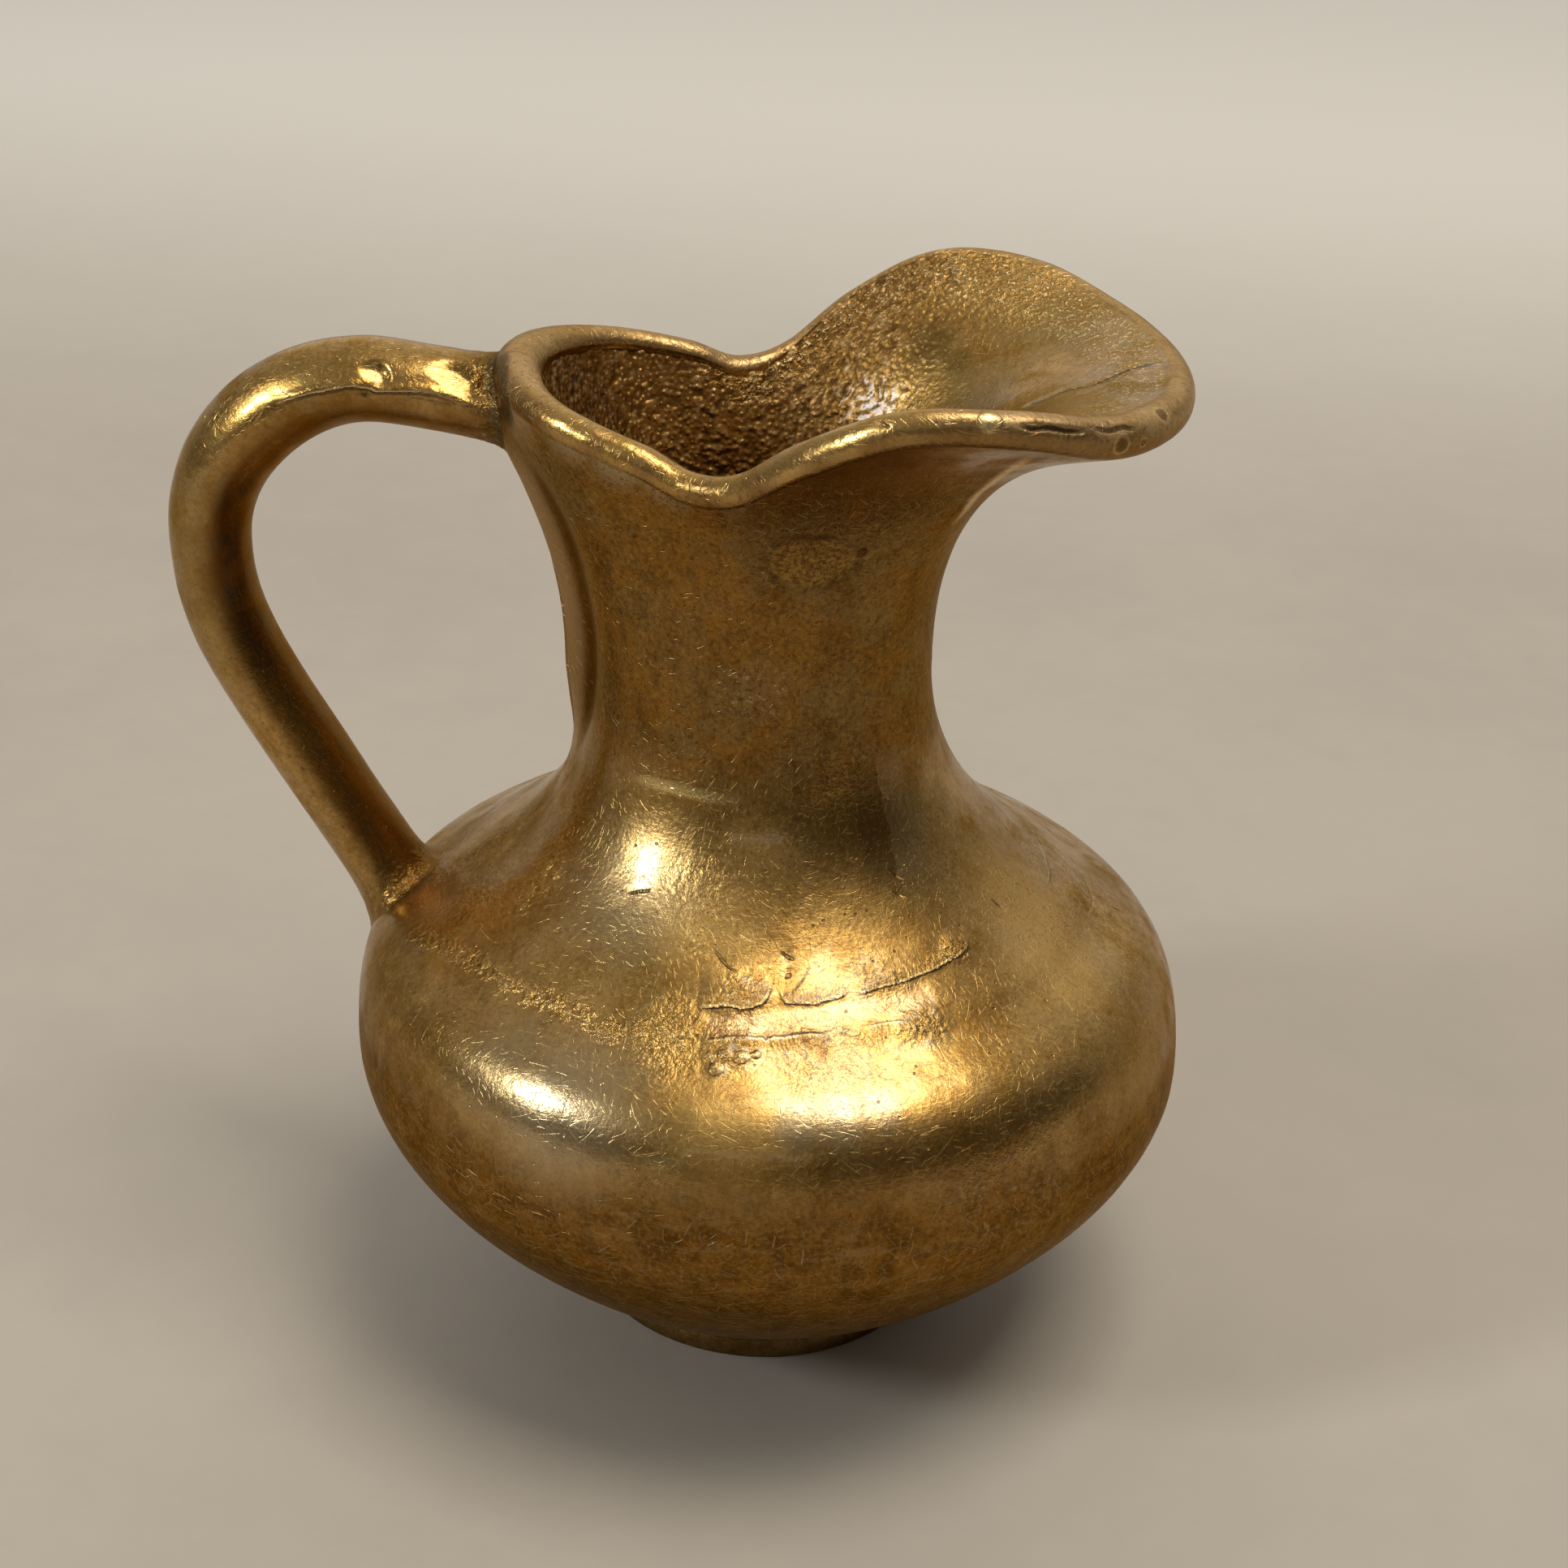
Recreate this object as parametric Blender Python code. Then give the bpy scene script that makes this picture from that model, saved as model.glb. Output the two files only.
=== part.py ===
# Small cast brass pitcher: a bowl, an upper body with a pinched mouth and spout, a foot and a handle,
# with the runs of braze metal that join the four castings.
# Metres. +Z is up, the spout points to +X and the handle to -X, and the foot stands on z = 0.

import bpy
import bmesh
from math import cos, exp, hypot, pi, radians, sin
from mathutils import Vector
from mathutils.bvhtree import BVHTree

MM = 0.001

# Clearance between a casting and the braze metal next to it
JOINT_GAP = 0.3 * MM

# Wall of the two hollow castings
WALL = 2.4 * MM

# Belly: crease over the foot, widest ring and the knee where the shoulder starts
CREASE_RADIUS = 15.3 * MM
CREASE_HEIGHT = 2.85 * MM
CREASE_ANGLE = radians(31)
CREASE_REACH = 9.4 * MM
BELLY_RADIUS = 35.0 * MM
BELLY_HEIGHT = 25.2 * MM
BELLY_REACH_DOWN = 7.2 * MM
BELLY_REACH_UP = 11.5 * MM
KNEE_RADIUS = 26.4 * MM
KNEE_HEIGHT = 39.1 * MM
KNEE_ANGLE = radians(141)
KNEE_REACH_DOWN = 4.9 * MM
KNEE_REACH_UP = 3.4 * MM

# Neck: narrowest ring, and how far its axis leans towards the handle per metre of height
WAIST_RADIUS = 13.3 * MM
WAIST_HEIGHT = 59.2 * MM
WAIST_REACH = 12.6 * MM
LEAN = 0.045
LEAN_START = 24.0 * MM
LEAN_BLEND = 4.0 * MM

# Brazed joint in the shoulder: radius of its middle, half width of the groove outside and inside
SEAM_RADIUS = 25.2 * MM
GROOVE_OUTSIDE = 1.3 * MM
GROOVE_INSIDE = 0.65 * MM
BRAZE_CROWN = 0.15 * MM

# Rim crest from the spout's tip (0 degrees) to the handle (180), the same on both sides: angle, radius, height
RIM = (
    (0, 32.2 * MM, 84.1 * MM),
    (15, 32.0 * MM, 84.3 * MM),
    (30, 31.2 * MM, 85.1 * MM),
    (45, 28.9 * MM, 86.8 * MM),
    (60, 25.1 * MM, 86.8 * MM),
    (75, 20.6 * MM, 83.6 * MM),
    (90, 16.8 * MM, 79.8 * MM),
    (105, 15.1 * MM, 78.9 * MM),
    (120, 15.4 * MM, 80.3 * MM),
    (150, 18.2 * MM, 82.2 * MM),
    (180, 19.3 * MM, 83.1 * MM),
)
LIP_RADIUS = 1.3 * MM
LIP_EXTRA_AT_HANDLE = 0.6 * MM
LIP_EXTRA_SPREAD = 28.0
LIP_EXTRA_AT_TIP = 0.3 * MM
LIP_TIP_ANGLE = -24.0
LIP_TIP_SPREAD = 22.0

# Slope of the wall where it meets the rim, how stiffly the flare leaves the waist and reaches the rim,
# and how quickly these pass from the sides to the spout
SPOUT_SHARPNESS = 1.5
SLOPE_SIDE = radians(77)
SLOPE_SPOUT = radians(14)
STIFF_WAIST_SIDE = 0.46
STIFF_WAIST_SPOUT = 0.72
STIFF_RIM_SIDE = 0.28
STIFF_RIM_SPOUT = 0.15

# Handle side of the neck: fuller wall, the casting rib down it and the boss under the rim
FULLNESS = 0.9 * MM
FULLNESS_FADE = (64.0 * MM, 80.0 * MM)
RIB_HEIGHT = 2.3 * MM
RIB_REACH = (3.2 * MM, 7.2 * MM)
RIB_WIDENS = (50.0 * MM, 78.0 * MM)
RIB_FOOT = (47.0 * MM, 58.0 * MM)
BOSS_HEIGHT = 1.9 * MM
BOSS_SPREAD = 4.6 * MM
BOSS_RISE = (71.0 * MM, 77.0 * MM)
BOSS_FADE = (77.0 * MM, 82.0 * MM)

# Foot
FOOT_RADIUS = 15.2 * MM
FOOT_SIDE = 1.3 * MM
FOOT_CHAMFER = 1.65 * MM
FOOT_ROUND = 0.45 * MM

# Handle: centre line in the plane y = 0 and the cross-section. The root is placed on the shoulder, this far
# up the outside from the widest ring and this deep in it.
HANDLE_TOP = (-25.5 * MM, 79.4 * MM)
HANDLE_CREST = (-33.0 * MM, 80.05 * MM)
HANDLE_OUTER = (-47.1 * MM, 66.2 * MM)
HANDLE_ROOT_RISE = 10.92 * MM
HANDLE_ROOT_SINK = 0.27 * MM
HANDLE_ROOT_ANGLE = radians(-58.5)
HANDLE_REACH = (2.5 * MM, 2.0 * MM, 7.2 * MM, 7.3 * MM, 8.3 * MM, 23.1 * MM)
HANDLE_THICKNESS = 6.5 * MM
HANDLE_WIDTH = 6.7 * MM
HANDLE_RIDGE = 0.35 * MM
HANDLE_BEND_EXTRA = 0.35 * MM
HANDLE_BEND_AT = 18.0 * MM
HANDLE_BEND_SPREAD = 9.0 * MM

# Braze metal at the two ends of the handle
TOP_FLARE = 0.05
ROOT_FILL = 2.6 * MM
ROOT_FLARE = 0.42

# Mesh density
TURNED_STEPS = 72
FOOT_STEPS = 56
MOUTH_STEPS = 72
RIB_STATIONS = (1.5, 7.5, 12.5, 17.5, 22.5)
HANDLE_STEPS = 40
HANDLE_SIDES = 24
SHARP_ANGLE = radians(38)

BRASS = (0.60, 0.42, 0.17)
FOOT_BRASS = (0.52, 0.40, 0.18)
BRAZE = (0.68, 0.51, 0.25)


def smooth(value, low, high):
    t = min(max((value - low) / (high - low), 0.0), 1.0)
    return t * t * (3.0 - 2.0 * t)


def polar(length, angle):
    return Vector((length * cos(angle), length * sin(angle)))


def bezier(start, toward, back, end, steps):
    points = []
    for i in range(steps + 1):
        t = i / steps
        u = 1.0 - t
        points.append(u**3 * start + 3 * u * u * t * toward + 3 * u * t * t * back + t**3 * end)
    return points


class Path:
    """A smooth line in a plane, measured along its length. Its normal lies to the right of travel."""

    def __init__(self, points):
        self.points = points
        self.marks = [0.0]
        for a, b in zip(points, points[1:]):
            self.marks.append(self.marks[-1] + (b - a).length)
        self.length = self.marks[-1]

    def at(self, distance, offset=0.0):
        last = len(self.points) - 2
        i = next((k for k in range(last + 1) if self.marks[k + 1] >= distance), last)
        a, b = self.points[i], self.points[i + 1]
        along = (b - a).normalized()
        return a + along * (distance - self.marks[i]) + Vector((along.y, -along.x)) * offset

    def direction(self, distance):
        near = 0.05 * MM
        return (self.at(distance + near) - self.at(distance - near)).normalized()

    def part(self, start, end, steps, offset=0.0):
        return [self.at(start + (end - start) * i / steps, offset) for i in range(steps + 1)]

    def reach(self, radius, after):
        return next(m for m, p in zip(self.marks, self.points) if m > after and p.x <= radius)


def axis_x(height):
    rise = max(height - LEAN_START, 0.0)
    return -LEAN * (hypot(rise, LEAN_BLEND) - LEAN_BLEND)


def turned_point(radius, height, angle):
    return Vector((axis_x(height) + radius * cos(angle), radius * sin(angle), height))


def finish(name, mesh_data, color, roughness):
    bmesh.ops.recalc_face_normals(mesh_data, faces=mesh_data.faces)
    if mesh_data.calc_volume(signed=True) < 0:
        bmesh.ops.reverse_faces(mesh_data, faces=mesh_data.faces)
    mesh_data.normal_update()
    tree = BVHTree.FromBMesh(mesh_data)
    mesh = bpy.data.meshes.new(name)
    mesh_data.to_mesh(mesh)
    mesh_data.free()
    mesh.shade_smooth()
    mesh.set_sharp_from_angle(angle=SHARP_ANGLE)
    material = bpy.data.materials.new(name)
    material.use_nodes = True
    shader = material.node_tree.nodes["Principled BSDF"]
    shader.inputs["Base Color"].default_value = (*color, 1.0)
    shader.inputs["Metallic"].default_value = 1.0
    shader.inputs["Roughness"].default_value = roughness
    mesh.materials.append(material)
    item = bpy.data.objects.new(name, mesh)
    bpy.context.scene.collection.objects.link(item)
    return tree


def skin(rings, closed):
    """Joins rings of points by quads. A ring of one point is a pole. Closed also joins the last to the first."""
    data = bmesh.new()
    made = [[data.verts.new(p) for p in ring] for ring in rings]
    pairs = list(zip(made, made[1:]))
    if closed:
        pairs.append((made[-1], made[0]))
    for a, b in pairs:
        count = max(len(a), len(b))
        for i in range(count):
            j = (i + 1) % count
            if len(a) == 1:
                data.faces.new((a[0], b[i], b[j]))
            elif len(b) == 1:
                data.faces.new((a[i], a[j], b[0]))
            else:
                data.faces.new((a[i], a[j], b[j], b[i]))
    return data


def turn(name, outline, steps, color, roughness, closed=False):
    """Turns an outline of (radius, height) around the vessel's axis. Points on the axis become poles."""
    angles = [2 * pi * i / steps for i in range(steps)]
    rings = []
    for p in outline:
        if p.x == 0.0:
            rings.append([turned_point(0.0, p.y, 0.0)])
        else:
            rings.append([turned_point(p.x, p.y, a) for a in angles])
    return finish(name, skin(rings, closed), color, roughness)


def belly_path():
    crease = Vector((CREASE_RADIUS, CREASE_HEIGHT))
    widest = Vector((BELLY_RADIUS, BELLY_HEIGHT))
    knee = Vector((KNEE_RADIUS, KNEE_HEIGHT))
    waist = Vector((WAIST_RADIUS, WAIST_HEIGHT))
    up = Vector((0.0, 1.0))
    points = bezier(crease, crease + polar(CREASE_REACH, CREASE_ANGLE), widest - BELLY_REACH_DOWN * up, widest, 60)
    points += bezier(widest, widest + BELLY_REACH_UP * up, knee - polar(KNEE_REACH_DOWN, KNEE_ANGLE), knee, 60)[1:]
    points += bezier(knee, knee + polar(KNEE_REACH_UP, KNEE_ANGLE), waist - WAIST_REACH * up, waist, 60)[1:]
    return Path(points)


def rim_at(angle):
    """Radius and height of the rim crest, read smoothly between the named stations."""
    degrees = abs((angle * 180.0 / pi + 180.0) % 360.0 - 180.0)
    k = next(i for i in range(len(RIM) - 1) if degrees <= RIM[i + 1][0] + 1e-6)
    before = RIM[k - 1] if k > 0 else (-RIM[1][0], *RIM[1][1:])
    after = RIM[k + 2] if k + 2 < len(RIM) else (360 - RIM[-2][0], *RIM[-2][1:])
    a, b = RIM[k], RIM[k + 1]
    span = b[0] - a[0]
    t = (degrees - a[0]) / span
    values = []
    for n in (1, 2):
        slope_a = (b[n] - before[n]) / (b[0] - before[0]) * span
        slope_b = (after[n] - a[n]) / (after[0] - a[0]) * span
        values.append((2 * t**3 - 3 * t * t + 1) * a[n] + (t**3 - 2 * t * t + t) * slope_a
                      + (3 * t * t - 2 * t**3) * b[n] + (t**3 - t * t) * slope_b)
    return Vector(values)


def handle_side(point, angle):
    """Moves a point of the neck's outside out where the handle side is fuller, ribbed and bossed."""
    full = FULLNESS * ((1.0 - cos(angle)) / 2.0)**4
    full *= smooth(point.y, SEAM_END_HEIGHT, WAIST_HEIGHT) * (1.0 - smooth(point.y, *FULLNESS_FADE))
    point = point + Vector((full, 0.0))
    across = abs(point.x * sin(angle))
    if cos(angle) > 0.0:
        return point
    reach = RIB_REACH[0] + (RIB_REACH[1] - RIB_REACH[0]) * smooth(point.y, *RIB_WIDENS)
    rib = RIB_HEIGHT * max(0.0, 1.0 - across / reach) * smooth(point.y, *RIB_FOOT)
    boss = BOSS_HEIGHT * exp(-(across / BOSS_SPREAD)**2) * (1.0 - smooth(point.y, *BOSS_FADE))
    share = smooth(point.y, *BOSS_RISE)
    return point + Vector((rib * (1.0 - share) + boss * share, 0.0))


def mouth_section(angle):
    """Closed outline of the upper body's wall in the half plane at one angle."""
    spout = ((1.0 + cos(angle)) / 2.0)**SPOUT_SHARPNESS
    slope = SLOPE_SIDE + (SLOPE_SPOUT - SLOPE_SIDE) * spout
    stiff_waist = STIFF_WAIST_SIDE + (STIFF_WAIST_SPOUT - STIFF_WAIST_SIDE) * spout
    stiff_rim = STIFF_RIM_SIDE + (STIFF_RIM_SPOUT - STIFF_RIM_SIDE) * spout
    from_handle = abs(angle * 180.0 / pi - 180.0)
    from_tip = (angle * 180.0 / pi + 180.0) % 360.0 - 180.0 - LIP_TIP_ANGLE
    lip = LIP_RADIUS + LIP_EXTRA_AT_HANDLE * exp(-(from_handle / LIP_EXTRA_SPREAD)**2)
    lip += LIP_EXTRA_AT_TIP * exp(-(from_tip / LIP_TIP_SPREAD)**2)
    along = polar(1.0, slope)
    outward = Vector((along.y, -along.x))
    centre = rim_at(angle) - 0.6 * lip * along
    sides = []
    for offset, reach in ((0.0, lip), (-WALL, -lip)):
        waist = Vector((WAIST_RADIUS + offset, WAIST_HEIGHT))
        end = centre + outward * reach
        span = (end - waist).length
        flare = bezier(waist, waist + Vector((0.0, stiff_waist * span)), end - stiff_rim * span * along, end, 11)
        sides.append(flare)
    outside = outer.part(seam + GROOVE_OUTSIDE, outer.length, 8) + sides[0][1:-1]
    outside = [handle_side(p, angle) for p in outside]
    lip_arc = [centre + lip * (outward * cos(pi * i / 6) + along * sin(pi * i / 6)) for i in range(7)]
    inside = outer.part(seam + GROOVE_INSIDE, outer.length, 7, -WALL) + sides[1][1:-1]
    return outside + lip_arc + inside[::-1]


def handle_size(distance):
    bend = HANDLE_BEND_EXTRA * exp(-((distance - HANDLE_BEND_AT) / HANDLE_BEND_SPREAD)**2)
    return HANDLE_THICKNESS / 2 + bend


def handle_section(distance, scale=1.0):
    """Offsets from the centre line, in its plane and across it, with a soft ridge along both sides."""
    size = handle_size(distance)
    ratio = HANDLE_WIDTH / HANDLE_THICKNESS
    points = []
    for i in range(HANDLE_SIDES):
        a = 2 * pi * i / HANDLE_SIDES
        across = size * ratio * sin(a) + HANDLE_RIDGE * sin(a) * abs(sin(a))**7
        points.append(Vector((size * cos(a), across)) * scale)
    return points


def handle_ring(centre, along, section):
    normal = Vector((-along.y, along.x))
    return [Vector((centre.x + normal.x * p.x, p.y, centre.y + normal.y * p.x)) for p in section]


def braze_plug(name, centre, along, distance, flare, tree):
    """Fills from the handle's end face to the wall that the handle points at."""
    heading = Vector((along.x, 0.0, along.y))
    start = centre + along * JOINT_GAP
    back = centre - along * 4.0 * MM

    def landing(scale):
        points = []
        for p in handle_ring(back, along, handle_section(distance, scale)):
            spot, normal, face, depth = tree.ray_cast(p, heading)
            points.append(spot + normal * JOINT_GAP)
        return points

    wide = landing(1.0 + flare)
    first = handle_ring(start, along, handle_section(distance))
    rings = [[Vector((start.x, 0.0, start.y))], first]
    for share in (0.4, 0.75):
        ring = []
        for a, b in zip(first, wide):
            depth = (b - a).dot(heading)
            aside = (b - a) - heading * depth
            ring.append(a + heading * depth * share + aside * share**2)
        rings.append(ring)
    rings.append(wide)
    rings.append(landing(0.9))
    rings.append(landing(0.5))
    spot, normal, face, depth = tree.ray_cast(Vector((back.x, 0.0, back.y)), heading)
    rings.append([spot + normal * JOINT_GAP])
    finish(name, skin(rings, False), BRAZE, 0.42)


for item in list(bpy.data.objects):
    bpy.data.objects.remove(item, do_unlink=True)

outer = belly_path()
seam = outer.reach(SEAM_RADIUS, outer.length / 2)
SEAM_END_HEIGHT = outer.at(seam + GROOVE_OUTSIDE).y

# Lower bowl: flat underside over the foot, belly, and the lower half of the shoulder
floor_height = CREASE_HEIGHT + WALL
bowl_outline = [Vector((0.0, CREASE_HEIGHT)), Vector((CREASE_RADIUS * 0.6, CREASE_HEIGHT))]
bowl_outline += outer.part(0.0, seam - GROOVE_OUTSIDE, 20)
bowl_outline += outer.part(seam - GROOVE_INSIDE, WALL / 2, 17, -WALL)
bowl_outline += [Vector((CREASE_RADIUS - WALL / 2, floor_height)), Vector((0.0, floor_height))]
bowl_tree = turn("lower_bowl", bowl_outline, TURNED_STEPS, BRASS, 0.3)

# Upper body: upper half of the shoulder, neck, pinched mouth and spout
stations = [360.0 * i / MOUTH_STEPS for i in range(MOUTH_STEPS)]
stations += [180.0 + side * a for a in RIB_STATIONS for side in (-1, 1)]
sections = []
for station in sorted(stations):
    angle = radians(station)
    sections.append([turned_point(p.x, p.y, angle) for p in mouth_section(angle)])
body_tree = finish("upper_body", skin(sections, True), BRASS, 0.3)

# Braze metal in the groove between the two, crowned a little outside and inside
slant = hypot(WALL, GROOVE_OUTSIDE - GROOVE_INSIDE) / WALL
half_out = GROOVE_OUTSIDE - JOINT_GAP * slant
half_in = GROOVE_INSIDE - JOINT_GAP * slant
seam_outline = [
    outer.at(seam - half_out),
    outer.at(seam - half_out / 2, BRAZE_CROWN),
    outer.at(seam + half_out / 2, BRAZE_CROWN),
    outer.at(seam + half_out),
    outer.at(seam + half_in, -WALL),
    outer.at(seam, -WALL - BRAZE_CROWN),
    outer.at(seam - half_in, -WALL),
]
turn("shoulder_braze", seam_outline, TURNED_STEPS, BRAZE, 0.38, closed=True)

# Foot: a low turned disc that stands flat, chamfered at the top for the braze metal
foot_top = CREASE_HEIGHT - JOINT_GAP
foot_outline = [
    Vector((0.0, 0.0)),
    Vector((FOOT_RADIUS * 0.6, 0.0)),
    Vector((FOOT_RADIUS - FOOT_ROUND, 0.0)),
    Vector((FOOT_RADIUS - FOOT_ROUND * 0.3, FOOT_ROUND * 0.3)),
    Vector((FOOT_RADIUS, FOOT_ROUND)),
    Vector((FOOT_RADIUS, FOOT_SIDE)),
    Vector((FOOT_RADIUS - FOOT_CHAMFER, foot_top)),
    Vector((0.0, foot_top)),
]
turn("foot", foot_outline, FOOT_STEPS, FOOT_BRASS, 0.4)

# Braze metal around the foot's chamfer, up against the underside of the bowl
chamfer = (foot_outline[6] - foot_outline[5]).normalized()
clear = Vector((chamfer.y, -chamfer.x)) * JOINT_GAP
chamfer_low = foot_outline[5] + chamfer * 0.2 * MM + clear
chamfer_high = chamfer_low + chamfer * ((foot_top - 0.3 * MM - chamfer_low.y) / chamfer.y)
foot_braze_outline = [
    chamfer_low,
    Vector((FOOT_RADIUS + 0.65 * MM, foot_top - 0.35 * MM)),
    outer.at(1.5 * MM, JOINT_GAP),
    outer.at(0.0, JOINT_GAP),
    Vector((chamfer_high.x, foot_top)),
    chamfer_high,
]
turn("foot_braze", foot_braze_outline, FOOT_STEPS, BRAZE, 0.42, closed=True)

# Handle: a bar along its centre line, from the boss at the rim over the crest and down to the shoulder
top, crest, far = (Vector(p) for p in (HANDLE_TOP, HANDLE_CREST, HANDLE_OUTER))
widest = outer.marks[max(range(len(outer.points)), key=lambda k: outer.points[k].x)]
footing = outer.at(widest + HANDLE_ROOT_RISE, -HANDLE_ROOT_SINK)
root_place = turned_point(footing.x, footing.y, pi)
root = Vector((root_place.x, root_place.z))
left, up = Vector((-1.0, 0.0)), Vector((0.0, 1.0))
into_root = polar(1.0, HANDLE_ROOT_ANGLE)
reach = HANDLE_REACH
line = bezier(top, top + left * reach[0] + up * 0.1 * reach[0], crest - left * reach[1], crest, 40)
line += bezier(crest, crest + left * reach[2], far + up * reach[3], far, 40)[1:]
line += bezier(far, far - up * reach[4], root - into_root * reach[5], root, 60)[1:]
bar = Path(line)
bar_end = bar.length - ROOT_FILL
rings = []
for i in range(HANDLE_STEPS + 1):
    distance = bar_end * i / HANDLE_STEPS
    rings.append(handle_ring(bar.at(distance), bar.direction(distance), handle_section(distance)))
start_point, end_point = bar.at(0.0), bar.at(bar_end)
rings.insert(0, [Vector((start_point.x, 0.0, start_point.y))])
rings.append([Vector((end_point.x, 0.0, end_point.y))])
finish("handle", skin(rings, False), BRASS, 0.32)

# Braze metal at the handle's two ends
braze_plug("handle_top_braze", start_point, -bar.direction(0.0), 0.0, TOP_FLARE, body_tree)
braze_plug("handle_root_braze", end_point, bar.direction(bar_end), bar_end, ROOT_FLARE, bowl_tree)
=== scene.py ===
import bmesh
import bpy
import numpy as np
from math import cos, pi, radians, sin
from mathutils import Matrix, Vector
from mathutils.bvhtree import BVHTree


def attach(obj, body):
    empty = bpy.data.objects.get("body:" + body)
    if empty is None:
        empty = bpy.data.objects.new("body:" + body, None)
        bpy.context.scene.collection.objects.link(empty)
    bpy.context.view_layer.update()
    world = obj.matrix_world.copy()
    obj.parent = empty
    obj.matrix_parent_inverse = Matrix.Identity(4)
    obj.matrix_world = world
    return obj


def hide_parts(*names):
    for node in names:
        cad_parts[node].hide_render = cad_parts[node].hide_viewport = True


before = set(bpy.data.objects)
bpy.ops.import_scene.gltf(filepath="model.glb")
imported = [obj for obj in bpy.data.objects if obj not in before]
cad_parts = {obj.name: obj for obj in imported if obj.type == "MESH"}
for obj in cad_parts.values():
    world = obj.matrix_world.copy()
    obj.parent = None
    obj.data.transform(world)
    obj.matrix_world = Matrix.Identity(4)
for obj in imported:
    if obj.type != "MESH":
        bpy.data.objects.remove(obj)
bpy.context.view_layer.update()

MM = 0.001

# How far from a mark its distance is kept, how far its work reaches, and how closely pixels are read
FAR_AWAY = 9.0
MARK_REACH = 4.0
PIXEL_STEP = 7.0

# The photograph's camera: its place, its axes, and its focus in pixels of the 1932 pixel frame
FRAME_SIZE = 1932
FOCUS = 3200
EYE = Vector((0.01717, -0.19125, 0.14456))
EYE_RIGHT = Vector((0.9934, 0.1073, 0.0402))
EYE_UP = Vector((-0.0841, 0.4444, 0.8919))
EYE_BACK = Vector((0.0778, -0.8894, 0.4505))

# How far toward the picture's middle a pixel may slide until it meets the piece
SLIDES = np.linspace(0.0, 0.3, 61)

# Walls and curves of the castings, as the solids have them, in millimetres
WALL = 2.4
CREASE = (15.3, 2.85)
CREASE_ANGLE = radians(31)
CREASE_REACH = 9.4
BELLY = (35.0, 25.2)
BELLY_REACH_DOWN = 7.2
BELLY_REACH_UP = 11.5
KNEE = (26.4, 39.1)
KNEE_ANGLE = radians(141)
KNEE_REACH_DOWN = 4.9
KNEE_REACH_UP = 3.4
WAIST = (13.3, 59.2)
WAIST_REACH = 12.6
LEAN = 0.045
LEAN_START = 24.0
LEAN_BLEND = 4.0
SEAM_RADIUS = 25.2

# Rim crest: angle from the spout, radius, height
RIM = (
    (0, 32.2, 84.1), (15, 32.0, 84.3), (30, 31.2, 85.1), (45, 28.9, 86.8), (60, 25.1, 86.8),
    (75, 20.6, 83.6), (90, 16.8, 79.8), (105, 15.1, 78.9), (120, 15.4, 80.3), (150, 18.2, 82.2),
    (180, 19.3, 83.1),
)
LIP = 1.3
LIP_EXTRA = 0.6
LIP_EXTRA_SPREAD = 28.0
TIP_EXTRA = 0.3
TIP_EXTRA_AT = -24.0
TIP_EXTRA_SPREAD = 22.0
SPOUT_SHARPNESS = 1.5
SLOPE = (radians(77), radians(14))
STIFF_WAIST = (0.46, 0.72)
STIFF_RIM = (0.28, 0.15)
FULLNESS = 0.9
FULLNESS_FADE = (64.0, 80.0)
RIB_HEIGHT = 2.3
RIB_SPREAD = (3.2, 7.2)
RIB_WIDENS = (50.0, 78.0)
RIB_FOOT = (47.0, 58.0)
RIB_SLIT_PLACE = -0.1
RIB_SLIT_WIDTH = 0.2
RIB_SLIT_DEPTH = 0.35
RIB_BEHIND = 0.32
RIB_SLIT_ENDS = (50.0, 54.0, 63.0, 70.0)
BOSS_HEIGHT = 1.9
BOSS_SPREAD = 4.6
BOSS_RISE = (71.0, 77.0)
BOSS_FADE = (77.0, 82.0)

# Foot: radius, rounding of its lower edge, and the height at which it ends under the belly
FOOT_RADIUS = 15.2
FOOT_ROUNDING = 0.45
FOOT_TOP = 3.4

# The foot's side and its fillet: how far past the foot's radius, and height
FOOT_FILLET = (
    (0.0, 0.8), (0.0, 1.3), (-0.12, 1.65), (-0.22, 2.0), (-0.12, 2.35), (0.2, 2.68), (0.75, 2.98),
    (1.4, 3.36), (1.3, 3.6),
)

# Handle: points of its centre line, how far each curve reaches from them, and its section
HANDLE_TOP = (-25.5, 79.4)
HANDLE_CREST = (-33.0, 80.05)
HANDLE_OUTER = (-47.1, 66.2)
HANDLE_ROOT = (-32.2, 35.2)
HANDLE_ROOT_ANGLE = radians(-58.5)
HANDLE_REACH = (2.5, 2.0, 7.2, 7.3, 8.3, 23.1)
TOP_RISE = 0.1
HANDLE_THICKNESS = 6.5
HANDLE_WIDTH = 6.7
HANDLE_RIDGE = 0.35
RIDGE_SHARPNESS = 7.0
BEND_EXTRA = 0.35
BEND_AT = 18.0
BEND_SPREAD = 9.0

# What the two poles of a closed skin hold
POLES = np.zeros(2)

# Mesh density of the finished skins
OUTSIDE_COLUMNS = 400
INSIDE_COLUMNS = 420
HANDLE_STEPS = 420
HANDLE_SIDES = 84
FOOT_COLUMNS = 256
CURVE_STEPS = 240
BEND_STEPS = 200
DOWN_STEPS = 300
FLARE_STEPS = 60
BELLY_ROWS = 128
FLARE_ROWS = 66
BEAD_ROWS = 22
CAST_FLARE_ROWS = 150
CAST_SHOULDER_ROWS = 36
CAST_BELLY_ROWS = 22


# ---------------- curves

def smooth(value, low, high):
    t = np.clip((value - low) / (high - low), 0.0, 1.0)
    return t * t * (3.0 - 2.0 * t)


def fade(value, low, high):
    return 1.0 - smooth(value, low, high)


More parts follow.
